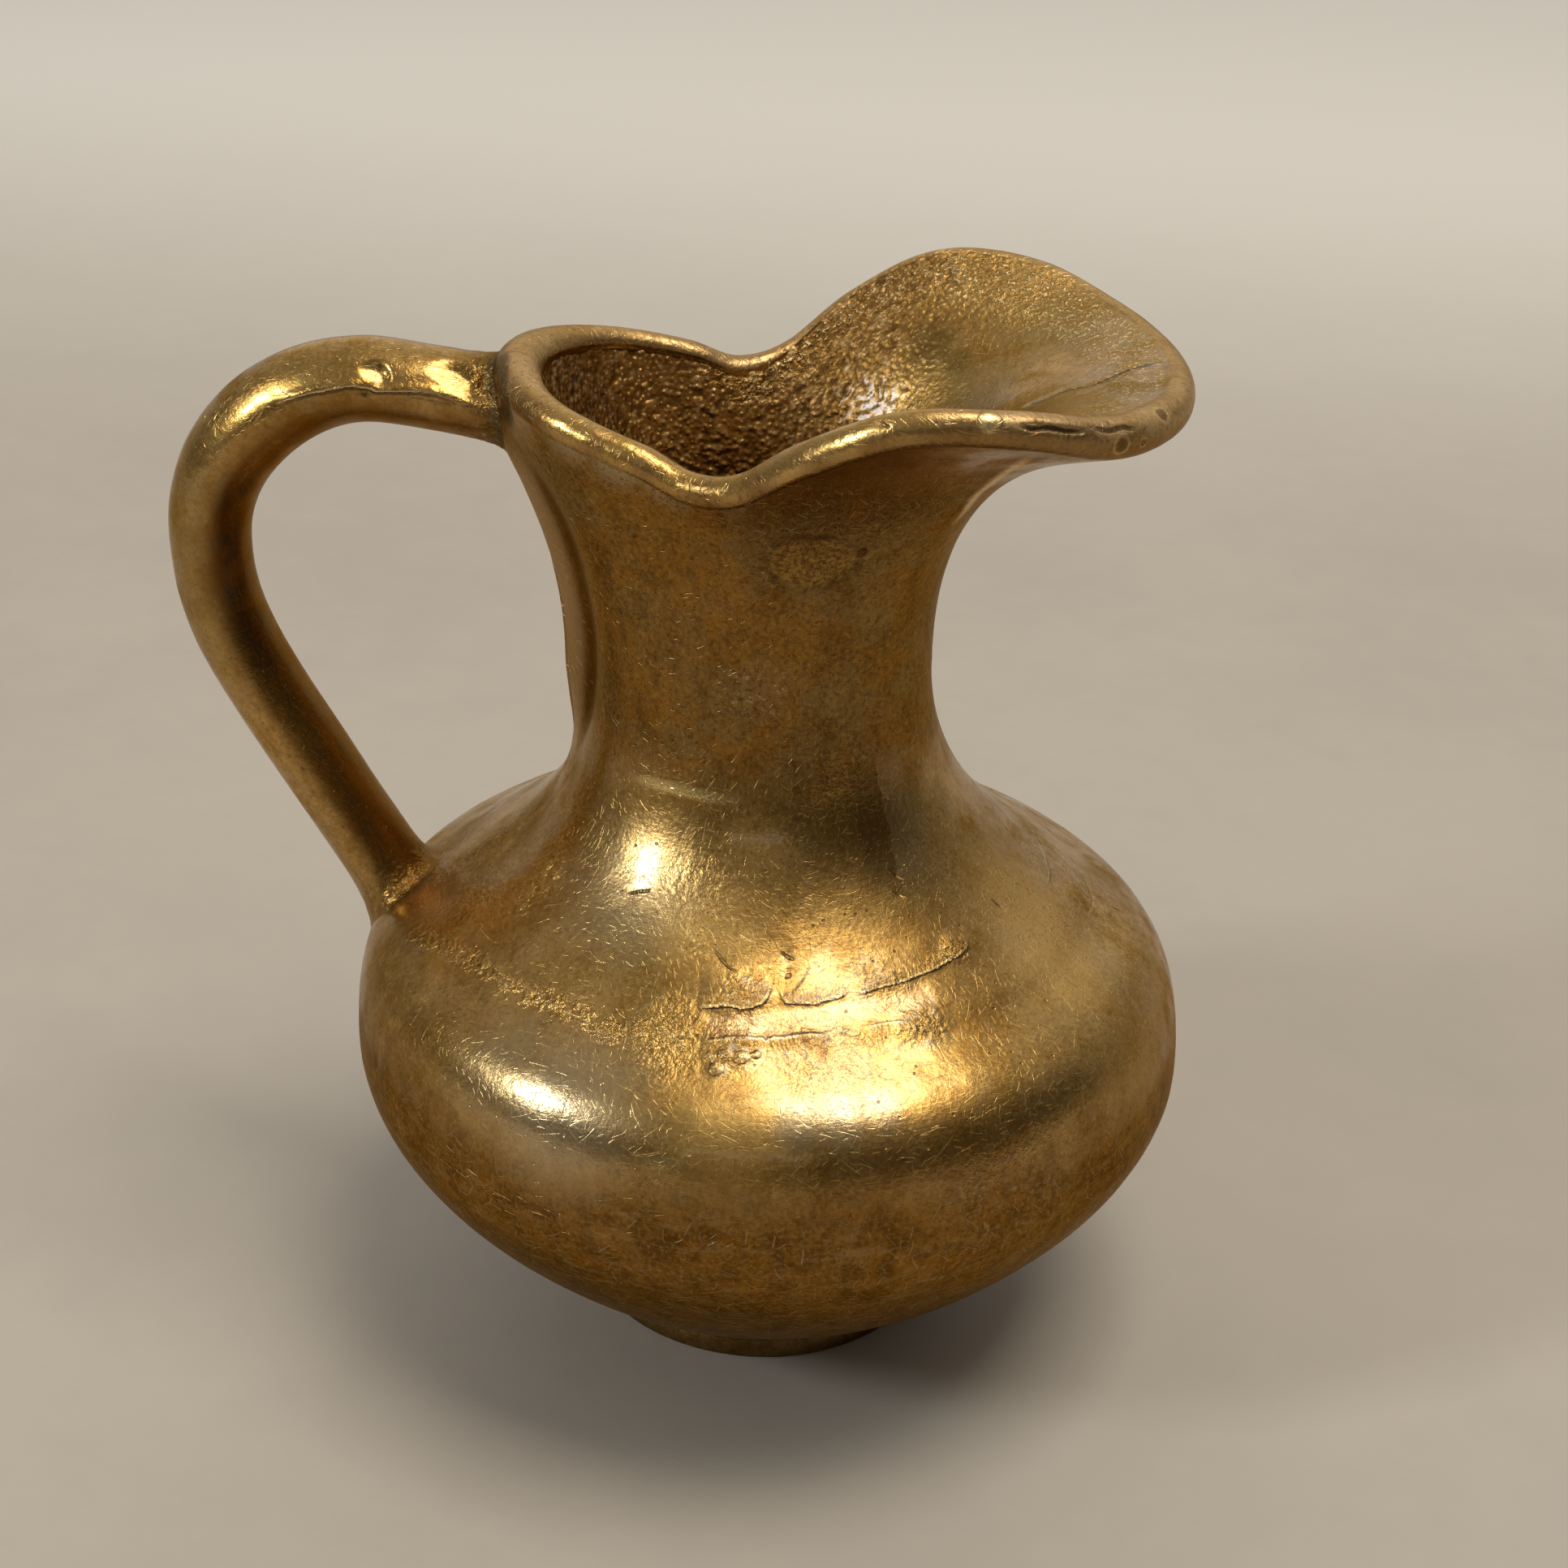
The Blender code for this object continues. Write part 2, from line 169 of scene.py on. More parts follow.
def between(value, ends):
    """Rises from 0 to 1 between the first two ends, and falls again between the last two."""
    return smooth(value, *ends[:2]) * fade(value, *ends[2:])


def bell(value, reach):
    """1 at zero, and hardly anything beyond twice the reach."""
    return np.exp(-(value / reach)**2)


def cubic(start, toward, back, end, t):
    u = 1.0 - t
    return u**3 * start + 3 * u * u * t * toward + 3 * u * t * t * back + t**3 * end


def bezier(start, toward, back, end, steps):
    return cubic(start, toward, back, end, np.linspace(0.0, 1.0, steps + 1)[:, None])


def polar(length, angle):
    return length * np.array((cos(angle), sin(angle)))


def spaced(low, high, count, weight):
    """Values from low to high, packed closer where the weight is higher."""
    fine = np.linspace(low, high, 4001)
    total = np.concatenate(((0.0,), np.cumsum(weight((fine[1:] + fine[:-1]) / 2))))
    return np.interp(np.linspace(0.0, total[-1], count + 1), total, fine)


def lengths(points):
    """How far along a line each of its points lies."""
    return np.concatenate(((0.0,), np.cumsum(np.linalg.norm(np.diff(points, axis=0), axis=1))))


class Line:
    """A smooth line in a plane, measured along its length. An offset lies to the right of travel."""

    def __init__(self, points):
        self.points = points
        self.marks = lengths(points)
        self.length = self.marks[-1]
        self.slopes = np.gradient(points, self.marks, axis=0)
        self.slopes /= np.linalg.norm(self.slopes, axis=1)[:, None]

    def read(self, values, distance):
        return np.stack([np.interp(distance, self.marks, values[:, k]) for k in (0, 1)], axis=-1)

    def at(self, distance, offset=0.0):
        along = self.read(self.slopes, distance)
        right = np.stack((along[..., 1], -along[..., 0]), axis=-1)
        return self.read(self.points, distance) + right * offset


def belly_line():
    """The outside from the crease over the foot to the waist of the neck, as radius and height."""
    crease, belly, knee, waist = (np.array(p) for p in (CREASE, BELLY, KNEE, WAIST))
    up = np.array((0.0, 1.0))
    from_crease = crease + polar(CREASE_REACH, CREASE_ANGLE)
    into_knee = knee - polar(KNEE_REACH_DOWN, KNEE_ANGLE)
    from_knee = knee + polar(KNEE_REACH_UP, KNEE_ANGLE)
    low = bezier(crease, from_crease, belly - BELLY_REACH_DOWN * up, belly, CURVE_STEPS)
    high = bezier(belly, belly + BELLY_REACH_UP * up, into_knee, knee, CURVE_STEPS)
    neck = bezier(knee, from_knee, waist - WAIST_REACH * up, waist, CURVE_STEPS)
    return Line(np.concatenate((low, high[1:], neck[1:])))


def crest(turn):
    """Radius and height of the rim's crest at each angle, smooth through the stations."""
    degrees = np.abs((np.degrees(turn) + 180.0) % 360.0 - 180.0)
    first, last = RIM[1], RIM[-2]
    table = np.array(((-first[0], *first[1:]), *RIM, (360 - last[0], *last[1:])), float)
    k = np.clip(np.searchsorted(table[:, 0], degrees, side="right"), 2, len(table) - 2)
    before, a, b, after = table[k - 2], table[k - 1], table[k], table[k + 1]
    span = (b[:, 0] - a[:, 0])[:, None]
    t = (degrees[:, None] - a[:, :1]) / span
    slope_a = (b - before) / (b[:, :1] - before[:, :1]) * span
    slope_b = (after - a) / (after[:, :1] - a[:, :1]) * span
    value = ((2 * t**3 - 3 * t * t + 1) * a + (t**3 - 2 * t * t + t) * slope_a
             + (3 * t * t - 2 * t**3) * b + (t**3 - t * t) * slope_b)
    return value[:, 1:]


class Mouth:
    """The rim bead and the flares that lead to it, at each of a set of angles."""

    def __init__(self, turns):
        self.turns = turns
        self.spout = ((1.0 + np.cos(turns)) / 2.0)**SPOUT_SHARPNESS
        slope = SLOPE[0] + (SLOPE[1] - SLOPE[0]) * self.spout
        from_handle = np.abs(np.degrees(turns) % 360.0 - 180.0)
        from_tip = (np.degrees(turns) + 180.0) % 360.0 - 180.0 - TIP_EXTRA_AT
        self.lip = (LIP + LIP_EXTRA * bell(from_handle, LIP_EXTRA_SPREAD)
                    + TIP_EXTRA * bell(from_tip, TIP_EXTRA_SPREAD))[:, None]
        self.along = np.stack((np.cos(slope), np.sin(slope)), axis=1)
        self.outward = np.stack((self.along[:, 1], -self.along[:, 0]), axis=1)
        self.centre = crest(turns) - 0.6 * self.lip * self.along

    def flare(self, offset, reach, shares):
        """Rows of points from the waist to the bead, at these shares of their length."""
        waist = np.array((WAIST[0] + offset, WAIST[1]))
        end = self.centre + self.outward * self.lip * reach
        span = np.linalg.norm(end - waist, axis=1)[:, None]
        stiff_waist = (STIFF_WAIST[0] + (STIFF_WAIST[1] - STIFF_WAIST[0]) * self.spout)[:, None]
        stiff_rim = (STIFF_RIM[0] + (STIFF_RIM[1] - STIFF_RIM[0]) * self.spout)[:, None]
        rows = []
        for k in range(len(self.turns)):
            toward = waist + np.array((0.0, stiff_waist[k, 0] * span[k, 0]))
            back = end[k] - stiff_rim[k] * span[k] * self.along[k]
            curve = Line(bezier(waist, toward, back, end[k], FLARE_STEPS))
            rows.append(curve.at(np.array(shares) * curve.length))
        return np.stack(rows, axis=1)

    def bead(self, angles, size=1.0):
        """Rows of points around the bead, from its outer side over the crest."""
        return np.stack([self.centre + size * self.lip * (self.outward * cos(a) + self.along * sin(a))
                         for a in angles])


def rib_spread(height):
    return RIB_SPREAD[0] + (RIB_SPREAD[1] - RIB_SPREAD[0]) * smooth(height, *RIB_WIDENS)


def handle_side(points, turns):
    """Moves the neck's outside out where the handle side is fuller, ribbed and bossed."""
    radius, height = points[..., 0], points[..., 1]
    full = FULLNESS * ((1.0 - np.cos(turns)) / 2.0)**4 * smooth(height, 40.0, WAIST[1])
    radius = radius + full * fade(height, *FULLNESS_FADE)
    across = np.abs(radius * np.sin(turns))
    rib = RIB_HEIGHT * np.clip(1.0 - across / rib_spread(height), 0.0, 1.0) * smooth(height, *RIB_FOOT)
    open_slit = between(height, RIB_SLIT_ENDS)
    beyond = radius * np.sin(turns) - RIB_SLIT_PLACE
    rib = rib - RIB_SLIT_DEPTH * open_slit * bell(beyond, RIB_SLIT_WIDTH)
    rib = rib + RIB_BEHIND * open_slit * smooth(beyond, 0.0, 0.4) * fade(beyond, 1.0, 3.0)
    boss = BOSS_HEIGHT * bell(across, BOSS_SPREAD) * fade(height, *BOSS_FADE)
    share = smooth(height, *BOSS_RISE)
    raised = np.where(np.cos(turns) > 0.0, 0.0, rib * (1.0 - share) + boss * share)
    return np.stack((radius + raised, height), axis=-1)


def stand(points, turns):
    """Turns rows of (radius, height) into places in space, about the leaning axis."""
    radius, height = points[..., 0], points[..., 1]
    rise = np.maximum(height - LEAN_START, 0.0)
    axis = -LEAN * (np.hypot(rise, LEAN_BLEND) - LEAN_BLEND)
    return np.stack((axis + radius * np.cos(turns), radius * np.sin(turns), height), axis=-1)


# ---------------- skins

def ring_rows(profile, turns):
    """The same profile at each turn, one row for each of its points."""
    return np.array(profile)[:, None, :] * np.ones(len(turns))[None, :, None]


def grid_faces(rows, columns):
    start, column = np.arange(rows - 1)[:, None] * columns, np.arange(columns)[None, :]
    a, b = start + column, start + (column + 1) % columns
    return np.stack((a, b, b + columns, a + columns), axis=-1).reshape(-1, 4).tolist()


def chart(mesh, around, along):
    """Stores a map for scratches to follow: how far round and along the surface each corner lies."""
    faces = len(mesh.polygons)
    corners, first, count = (np.empty(n, np.int32) for n in (len(mesh.loops), faces, faces))
    mesh.loops.foreach_get("vertex_index", corners)
    mesh.polygons.foreach_get("loop_start", first)
    mesh.polygons.foreach_get("loop_total", count)
    turn = (around[corners] + pi) % (2 * pi) - pi
    split = np.maximum.reduceat(turn, first) - np.minimum.reduceat(turn, first) > pi
    turn = np.where(np.repeat(split, count) & (turn < 0.0), turn + 2 * pi, turn)
    size = np.hypot(*(np.ptp(places(mesh)[:, k]) for k in (0, 1))) / 4
    spots = np.stack((turn * size, along[corners]), axis=-1)
    mesh.uv_layers.new(name="chart").uv.foreach_set("vector", spots.ravel())


def closed_skin(name, rows, poles, turns):
    """One closed mesh, in metres, from rows of points around an axis, with a pole at each end."""
    count, columns = rows.shape[:2]
    points = np.concatenate((rows.reshape(-1, 3), np.array(poles)), axis=0) * MM
    faces = grid_faces(count, columns)
    start, end = count * columns, count * columns + 1
    last = (count - 1) * columns
    for i in range(columns):
        j = (i + 1) % columns
        faces.append((start, j, i))
        faces.append((end, last + i, last + j))
    mesh = bpy.data.meshes.new(name)
    mesh.from_pydata(points.tolist(), [], faces)
    data = bmesh.new()
    data.from_mesh(mesh)
    bmesh.ops.recalc_face_normals(data, faces=data.faces)
    if data.calc_volume(signed=True) < 0:
        bmesh.ops.reverse_faces(data, faces=data.faces)
    data.to_mesh(mesh)
    data.free()
    mesh.shade_smooth()
    down = np.cumsum(np.linalg.norm(np.diff(rows, axis=0, prepend=rows[:1]), axis=2), axis=0)
    around = np.concatenate((np.tile(turns, count), (0.0, 0.0)))
    chart(mesh, around, np.concatenate((down.ravel(), (0.0, down.max()))))
    return placed(name, mesh)


def places(mesh):
    values = np.empty(len(mesh.vertices) * 3)
    mesh.vertices.foreach_get("co", values)
    return values.reshape(-1, 3) / MM


def normals(mesh):
    values = np.empty(len(mesh.vertices) * 3)
    mesh.vertex_normals.foreach_get("vector", values)
    return values.reshape(-1, 3)


def placed(name, data):
    item = bpy.data.objects.new(name, data)
    bpy.context.scene.collection.objects.link(item)
    return item


def put(mesh, points):
    mesh.vertices.foreach_set("co", (points * MM).ravel())
    mesh.update()


def store(mesh, name, values):
    mesh.attributes.new(name, "FLOAT", "POINT").data.foreach_set("value", np.asarray(values, np.float32))


def tree_of(mesh):
    return BVHTree.FromPolygons([v.co for v in mesh.vertices], [p.vertices for p in mesh.polygons])


def seen(tree, pixel):
    """Where a pixel of the photograph meets a piece, in mm. One past the outline slides in to it."""
    middle = FRAME_SIZE / 2
    for share in SLIDES:
        x, y = (value + (middle - value) * share for value in pixel)
        ray = EYE_RIGHT * ((x - middle) / FOCUS) - EYE_UP * ((y - middle) / FOCUS) - EYE_BACK
        spot, normal, face, depth = tree.ray_cast(EYE, ray.normalized())
        if spot is not None:
            return np.array(spot) / MM


def gap_to(points, tree, pixel):
    """How far each point is from where a pixel of the photograph meets the piece."""
    return np.linalg.norm(points - seen(tree, pixel), axis=1)


def near_line(points, directions, line, strengths):
    """How far each point is from a line on the surface, positive on its left, and its strength there."""
    away = np.full(len(points), FAR_AWAY)
    power = np.zeros(len(points))
    low, high = line.min(axis=0) - MARK_REACH, line.max(axis=0) + MARK_REACH
    near = np.where(np.all((points > low) & (points < high), axis=1))[0]
    spots, out = points[near], directions[near]
    best = np.full(len(near), 1e9)
    side, strength = np.ones(len(near)), np.zeros(len(near))
    for k in range(len(line) - 1):
        a, b = line[k], line[k + 1]
        along = b - a
        t = np.clip((spots - a) @ along / (along @ along), 0.0, 1.0)
        gap = spots - (a + t[:, None] * along)
        distance = np.linalg.norm(gap, axis=1)
        turn = np.einsum("ij,ij->i", np.cross(out, along), gap)
        closer = distance < best
        best = np.where(closer, distance, best)
        side = np.where(closer, np.where(turn >= 0, 1.0, -1.0), side)
        strength = np.where(closer, strengths[k] * (1 - t) + strengths[k + 1] * t, strength)
    away[near] = np.clip(best, 0.0, FAR_AWAY) * side
    power[near] = np.where(best < MARK_REACH, strength, 0.0)
    return away, power


outer = belly_line()
seam = outer.marks[np.where((outer.marks > outer.length / 2) & (outer.points[:, 0] <= SEAM_RADIUS))[0][0]]


def outside_skin():
    """The outside, from under the foot over the belly and the neck to the bead, with a hidden back."""
    def weight(angle):
        return 1.0 + 0.9 * bell(angle - pi, 0.2) + 0.5 * np.exp(-((angle - 1.5 * pi) / 0.8)**4)

    turns = spaced(0.0, 2 * pi, OUTSIDE_COLUMNS, weight)[:-1]
    mouth = Mouth(turns)
    under = ring_rows(((4.0, CREASE[1]), (11.0, CREASE[1])), turns)
    marks = spaced(0.0, outer.length, BELLY_ROWS, lambda s: 1.0 + 1.2 * np.exp(-((s - seam) / 4.5)**4))
    belly = ring_rows(outer.at(marks), turns)
    flare = mouth.flare(0.0, 1.0, np.linspace(0.0, 1.0, FLARE_ROWS)[1:-1])
    bead_angles = np.linspace(0.0, radians(215), BEAD_ROWS)
    bead = mouth.bead(bead_angles)
    tuck = mouth.flare(-WALL / 2, 0.0, (0.93, 0.7, 0.4, 0.0))
    back = ring_rows(outer.at(np.linspace(outer.length, 2.0, 9)[1:], -WALL / 2), turns)
    floor = ring_rows(((9.0, CREASE[1] + WALL / 2),), turns)
    outside = handle_side(np.concatenate((belly, flare)), turns)
    rows = np.concatenate((under, outside, bead, tuck, back, floor))
    poles = ((0.0, 0.0, CREASE[1]), (0.0, 0.0, CREASE[1] + WALL / 2))
    item = closed_skin("brass_outside", stand(rows, turns), poles, turns)
    bead_start = len(under) + len(outside)
    row = np.arange(len(rows))
    shown = np.where(row < bead_start + len(bead) - 3, 1.0, 0.0)
    # The bead's outer, lower side, which the brass lays darker as painted shade
    outer_side = np.zeros(len(rows))
    outer_side[bead_start:][:len(bead)] = fade(bead_angles, radians(50), radians(100))
    bead_rows = shown * (row >= bead_start)
    for name, values in (("shown", shown), ("bead", bead_rows), ("outer_side", outer_side)):
        store(item.data, name, np.concatenate((np.repeat(values, len(turns)), POLES)))
    return item


def inside_skin():
    """The rough inside, from the bead down the neck to the floor of the bowl, with a hidden back."""
    turns = np.linspace(0.0, 2 * pi, INSIDE_COLUMNS + 1)[:-1]
    mouth = Mouth(turns)
    shares = spaced(0.0, 1.0, CAST_FLARE_ROWS, lambda s: 1.0 + 0.4 * s)[::-1]
    back = -WALL * 0.7
    hidden = np.concatenate((ring_rows(outer.at(np.linspace(6.0, outer.length, 9), back), turns),
                             mouth.flare(back, -0.2, (0.3, 0.6, 0.9)),
                             mouth.bead((radians(130), radians(160)), 0.75)))
    recess = (0.02 + 0.16 * fade(mouth.spout, 0.1, 0.5))[None, :, None] * mouth.outward[None]
    flare = mouth.flare(-WALL, -1.0, shares) + recess * smooth(shares, 0.6, 0.97)[:, None, None]
    below_neck = outer.length - 13.0
    marks = np.linspace(outer.length, below_neck, CAST_SHOULDER_ROWS)[1:]
    shoulder = ring_rows(outer.at(marks, -WALL), turns)
    belly = ring_rows(outer.at(np.linspace(below_neck, 2.0, CAST_BELLY_ROWS)[1:], -WALL), turns)
    floor = ring_rows(((9.0, CREASE[1] + WALL),), turns)
    rows = np.concatenate((hidden, flare, shoulder, belly, floor))
    poles = ((0.0, 0.0, CREASE[1] + WALL * 0.7), (0.0, 0.0, CREASE[1] + WALL))
    item = closed_skin("cast_inside", stand(rows, turns), poles, turns)
    above, below = np.ones(len(flare)), np.ones(len(rows) - len(hidden) - len(flare))
    fading = np.concatenate((np.linspace(1.0, 0.0, len(shoulder)), np.zeros(len(belly) + 1)))
    shown, rough, down = (
        np.repeat(np.concatenate((np.zeros(len(hidden)), *parts)), len(turns))
        for parts in ((above, fading), (above, below), (1.0 - shares, below)))
    spout = np.tile(mouth.spout, len(rows))
    grain = rough * (1.0 - 0.9 * smooth(spout, 0.55, 0.95) * fade(down, 0.5, 0.85))
    edge = shown * smooth(spout, 0.05, 0.3) * fade(down, 0.06, 0.22) * smooth(down, 0.004, 0.03)
    for name, values in (("grain", grain), ("shown", shown), ("edge", edge)):
        store(item.data, name, np.concatenate((values, POLES)))
    return item


# ---------------- marks of making and wear

# Each mark is a line of the photograph's pixels and its strength. A lap's raised side is on its left.
UPPER_LAPS = (
    (((862, 1243), (880, 1242), (897, 1240), (910, 1244), (920, 1245), (932, 1241), (940, 1238),
      (948, 1227), (953, 1213)), 1.0),
    (((960, 1222), (963, 1231), (970, 1238), (987, 1237), (1003, 1239), (1020, 1233), (1035, 1230),
      (1048, 1222)), 1.0),
    (((1058, 1219), (1060, 1226), (1087, 1217), (1105, 1213), (1120, 1208), (1153, 1195), (1173, 1183),
      (1190, 1173), (1193, 1160)), 0.9),
    (((602, 489), (612, 487), (619, 492), (627, 503), (635, 512)), 1.0),
)
LOWER_LAPS = (
    (((1023, 1270), (1013, 1273), (993, 1272), (967, 1277), (951, 1276), (945, 1282), (938, 1277),
      (903, 1277), (868, 1281)), 0.9),
    (((1050, 1271), (1040, 1266), (1035, 1278)), 0.6),
    (((1135, 1273), (1123, 1258), (1100, 1257), (1063, 1264)), 0.4),
)
ROUGH_RIDGES = (
    (((500, 1150), (560, 1172), (600, 1192), (637, 1222), (680, 1237), (707, 1245), (730, 1263),
      (760, 1273), (807, 1270), (853, 1287)), 0.9),
    (((703, 887), (683, 943), (670, 970), (653, 990), (620, 1027), (590, 1047), (547, 1073)), 0.7),
    (((690, 1050), (672, 1085), (650, 1105), (628, 1135)), 0.55),
    (((862, 1075), (858, 1120), (856, 1187)), 0.45),
    (((862, 1078), (885, 1068), (905, 1078)), 0.4),
)
GOUGES = (
    (((880, 1168), (888, 1182), (905, 1196)), 0.5),
    (((1222, 1108), (1238, 1122)), 0.8),
    (((1096, 1072), (1110, 1082)), 0.7),
    (((1100, 1098), (1114, 1106)), 0.7),
    (((1366, 1116), (1384, 1124)), 0.7),
    (((963, 1174), (977, 1182)), 0.7),
    (((775, 1100), (803, 1097)), 0.8),
    (((1082, 518), (1096, 527)), 0.8),
)
SEAM_BAND = (
    (((868, 1262), (910, 1262), (960, 1256), (1010, 1254), (1060, 1244), (1110, 1234),
      (1150, 1222)), 1.0),
)
JOINT_DIRT = ((((611, 428), (613, 450), (615, 470), (619, 488), (626, 503), (622, 518)), 1.0),)
# Soft ridges, which also carry a painted highlight along them
SOFT_RIDGES = (
    (((780, 1423), (805, 1433), (830, 1434), (858, 1427)), 0.8),
    (((770, 957), (800, 963), (840, 974), (880, 983), (920, 989)), 1.0),
    (((1275, 560), (1240, 580), (1203, 608), (1168, 655)), 0.8),
)
# Where a dull light facet of the shoulder borders on a darker one
TONE_BORDER = ((((1076, 925), (1083, 965), (1090, 1000), (1100, 1045), (1108, 1078), (1120, 1100)), 1.0),)
RIM_CRACKS = (
    (((1257, 524), (1275, 529), (1292, 526), (1310, 531), (1337, 531)), 1.0),
    (((1347, 527), (1366, 531), (1385, 526), (1400, 529)), 0.8),
)
SPOUT_CRACKS = (
    (((1442, 442), (1420, 447), (1397, 452), (1373, 462), (1347, 473), (1313, 480), (1260, 502)), 1.0),
)

# Soft places inside the spout and outside: middle, radius in millimetres, strength
SMUDGES = (((1147, 423), 3.4, 1.0), ((1180, 445), 2.4, 0.7))
MATTE_PATCHES = (
    ((540, 1075), 8.0, 0.4), ((545, 1108), 5.0, 0.5), ((640, 960), 6.0, 0.3), ((1290, 1140), 9.0, 0.6),
    ((650, 455), 4.0, 1.0), ((622, 470), 2.5, 1.0), ((1255, 514), 2.6, 0.8), ((1310, 524), 3.0, 1.0),
    ((1370, 530), 3.0, 1.0), ((1425, 517), 3.2, 1.0), ((1455, 475), 3.2, 0.9), ((940, 850), 3.5, 0.25),
    ((478, 1052), 4.0, 0.5),
)
# Darker places; along the belly's left edge this is painted shade
DARK_PATCHES = (
    ((485, 1290), 9.0, 0.7), ((560, 1240), 7.0, 0.4), ((1300, 560), 5.0, 0.5), ((600, 1050), 6.5, 0.8),
    ((645, 1015), 6.0, 0.8), ((560, 1035), 5.0, 0.7), ((470, 1190), 7.0, 0.7), ((455, 1250), 7.0, 0.6),
)
# Satin places: rougher, and laid a honey colour as a painted sheen
SATIN_SHEEN_PATCHES = (
    ((1255, 1110), 8.0, 1.0), ((870, 1140), 6.0, 0.8), ((900, 1400), 6.0, 0.7), ((1080, 1130), 6.0, 0.4),
    ((1300, 1180), 8.0, 0.8), ((1400, 1320), 8.0, 0.6), ((1440, 1250), 8.0, 0.5),
)
# Glossy places, whose colour is also lightened as a painted highlight
GLOSSY_HIGHLIGHT_PATCHES = (
    ((700, 532), 3.5, 1.0), ((760, 565), 3.5, 1.0), ((830, 588), 3.5, 1.0), ((900, 600), 3.0, 1.0),
    ((965, 572), 3.5, 1.0), ((1040, 530), 3.5, 1.0), ((1110, 507), 3.5, 0.8), ((1180, 500), 3.0, 0.5),
    ((690, 1370), 9.0, 1.0), ((620, 1320), 7.0, 0.6), ((775, 1100), 8.0, 0.55), ((985, 1384), 3.0, 1.0),
    ((1035, 1382), 3.0, 1.0), ((1085, 1370), 2.6, 0.8),
)
RUST_PATCHES = (
    ((820, 800), 7.0, 0.8), ((1180, 1450), 9.0, 0.6), ((700, 1500), 8.0, 0.5), ((620, 1130), 6.0, 0.4),
)

# Round marks on the outside: middle, radius in millimetres, depth in millimetres
ROUND_MARKS = (
    ((1433, 510), 0.75, 0.08), ((1383, 548), 0.7, 0.10), ((1410, 545), 0.4, 0.08),
    ((1082, 1603), 0.4, 0.10), ((972, 1202), 0.3, 0.10), ((1062, 682), 0.55, 0.05),
    ((1055, 1350), 0.3, 0.08),
)

# Round beads of metal that stand up: middle and radius in millimetres
BEADS = (
    ((1220, 520), 0.95), ((895, 1298), 0.65), ((913, 1303), 0.6), ((883, 1317), 0.6), ((932, 1300), 0.4),
)

# Patches of casting grain on the outside: middle, radius in millimetres, strength
ROUGH_PATCHES = (
    ((1280, 1040), 8.0, 0.65), ((1180, 1168), 2.0, 0.9), ((895, 1288), 3.4, 0.9), ((700, 1250), 4.5, 0.4),
    ((930, 860), 4.5, 0.6), ((870, 1100), 4.5, 0.5), ((1135, 1262), 3.0, 0.8), ((590, 1100), 6.0, 0.4),
    ((665, 690), 5.0, 0.3), ((1240, 1470), 9.0, 0.35), ((600, 478), 2.4, 1.0), ((1440, 500), 3.0, 0.4),
    ((915, 1232), 3.4, 0.7), ((1080, 1205), 4.5, 0.4), ((1020, 1305), 6.5, 0.5), ((820, 1275), 5.0, 0.7),
    ((1330, 1090), 7.0, 0.5), ((560, 1060), 5.0, 0.6), ((1040, 960), 4.0, 0.4), ((1180, 800), 6.0, 0.3),
)
STAIN_MIDDLE = (1000, 693)
STAIN_RADII = (3.5, 2.3)

# The shoulder joint around the far side: its ends, and how long its pieces and gaps are, in radians
FAR_JOINT = (radians(-3), radians(184))
FAR_PIECES = (0.25, 0.7)
FAR_GAPS = (0.03, 0.2)
FAR_STEP = 0.02

# Its upper and lower laps: seeds, how far from the seam they lie and wander in millimetres, strength
FAR_SEEDS = {1: 7, -1: 8}
FAR_OFFSET = 1.5
FAR_SHIFTS = (-0.3, 0.5)
FAR_WANDER = 0.10
FAR_STRENGTHS = (0.3, 0.8)

# How far the outside's marks stand up or sink in, in millimetres
UPPER_STEP = 0.06
LOWER_STEP = 0.05
VALLEY_DEPTH = 0.18
VALLEY_REACH = 1.15
RIB_SIDE_ENDS = (48.0, 56.0, 74.0, 78.0)
BAND_DEPTH = 0.05
CRACK_DEPTH = 0.22
DROP_RISE = 0.10

# Ridges, and below zero grooves: their name, lines, height, half width and how softly they end
CREASES = (
    ("ridge", ROUGH_RIDGES, 0.03, 0.5, 0.7),
    ("soft_ridge", SOFT_RIDGES, 0.10, 0.8, 4.0),
    ("gouge", GOUGES, -0.14, 0.28, 0.7),
    ("crack", RIM_CRACKS, -CRACK_DEPTH, 0.18, 0.7),
)


def follow(tree, pixels):
    """Closely spaced points on a piece, under a line of pixels."""
    corners = np.array(pixels, float)
    marks = lengths(corners)
    fine = np.linspace(0.0, marks[-1], int(marks[-1] / PIXEL_STEP) + 2)
    return np.array([seen(tree, [np.interp(m, marks, corners[:, k]) for k in (0, 1)]) for m in fine])


def mark(mesh, tree, name, drawn, more=(), run_out=0.7):
    """Stores how far each point is from the nearest line, drawn in pixels or placed, and its strength."""
    points, directions = places(mesh), normals(mesh)
    away, power = np.full(len(points), FAR_AWAY), np.zeros(len(points))
    for line, strength in [(follow(tree, pixels), strength) for pixels, strength in drawn] + list(more):
        marks = lengths(line)
        from_end = np.minimum(marks, marks[-1] - marks)
        strengths = strength * smooth(from_end, 0.0, min(run_out, marks[-1] / 2))
        distance, on = near_line(points, directions, line, strengths)
        on = on * fade(np.abs(distance), MARK_REACH / 2, MARK_REACH)
        closer = np.abs(distance) < np.abs(away)
        away = np.where(closer, distance, away)
        power = np.where(closer, on, power)
    store(mesh, name, away)
    store(mesh, name + "_on", power)
    return away, power


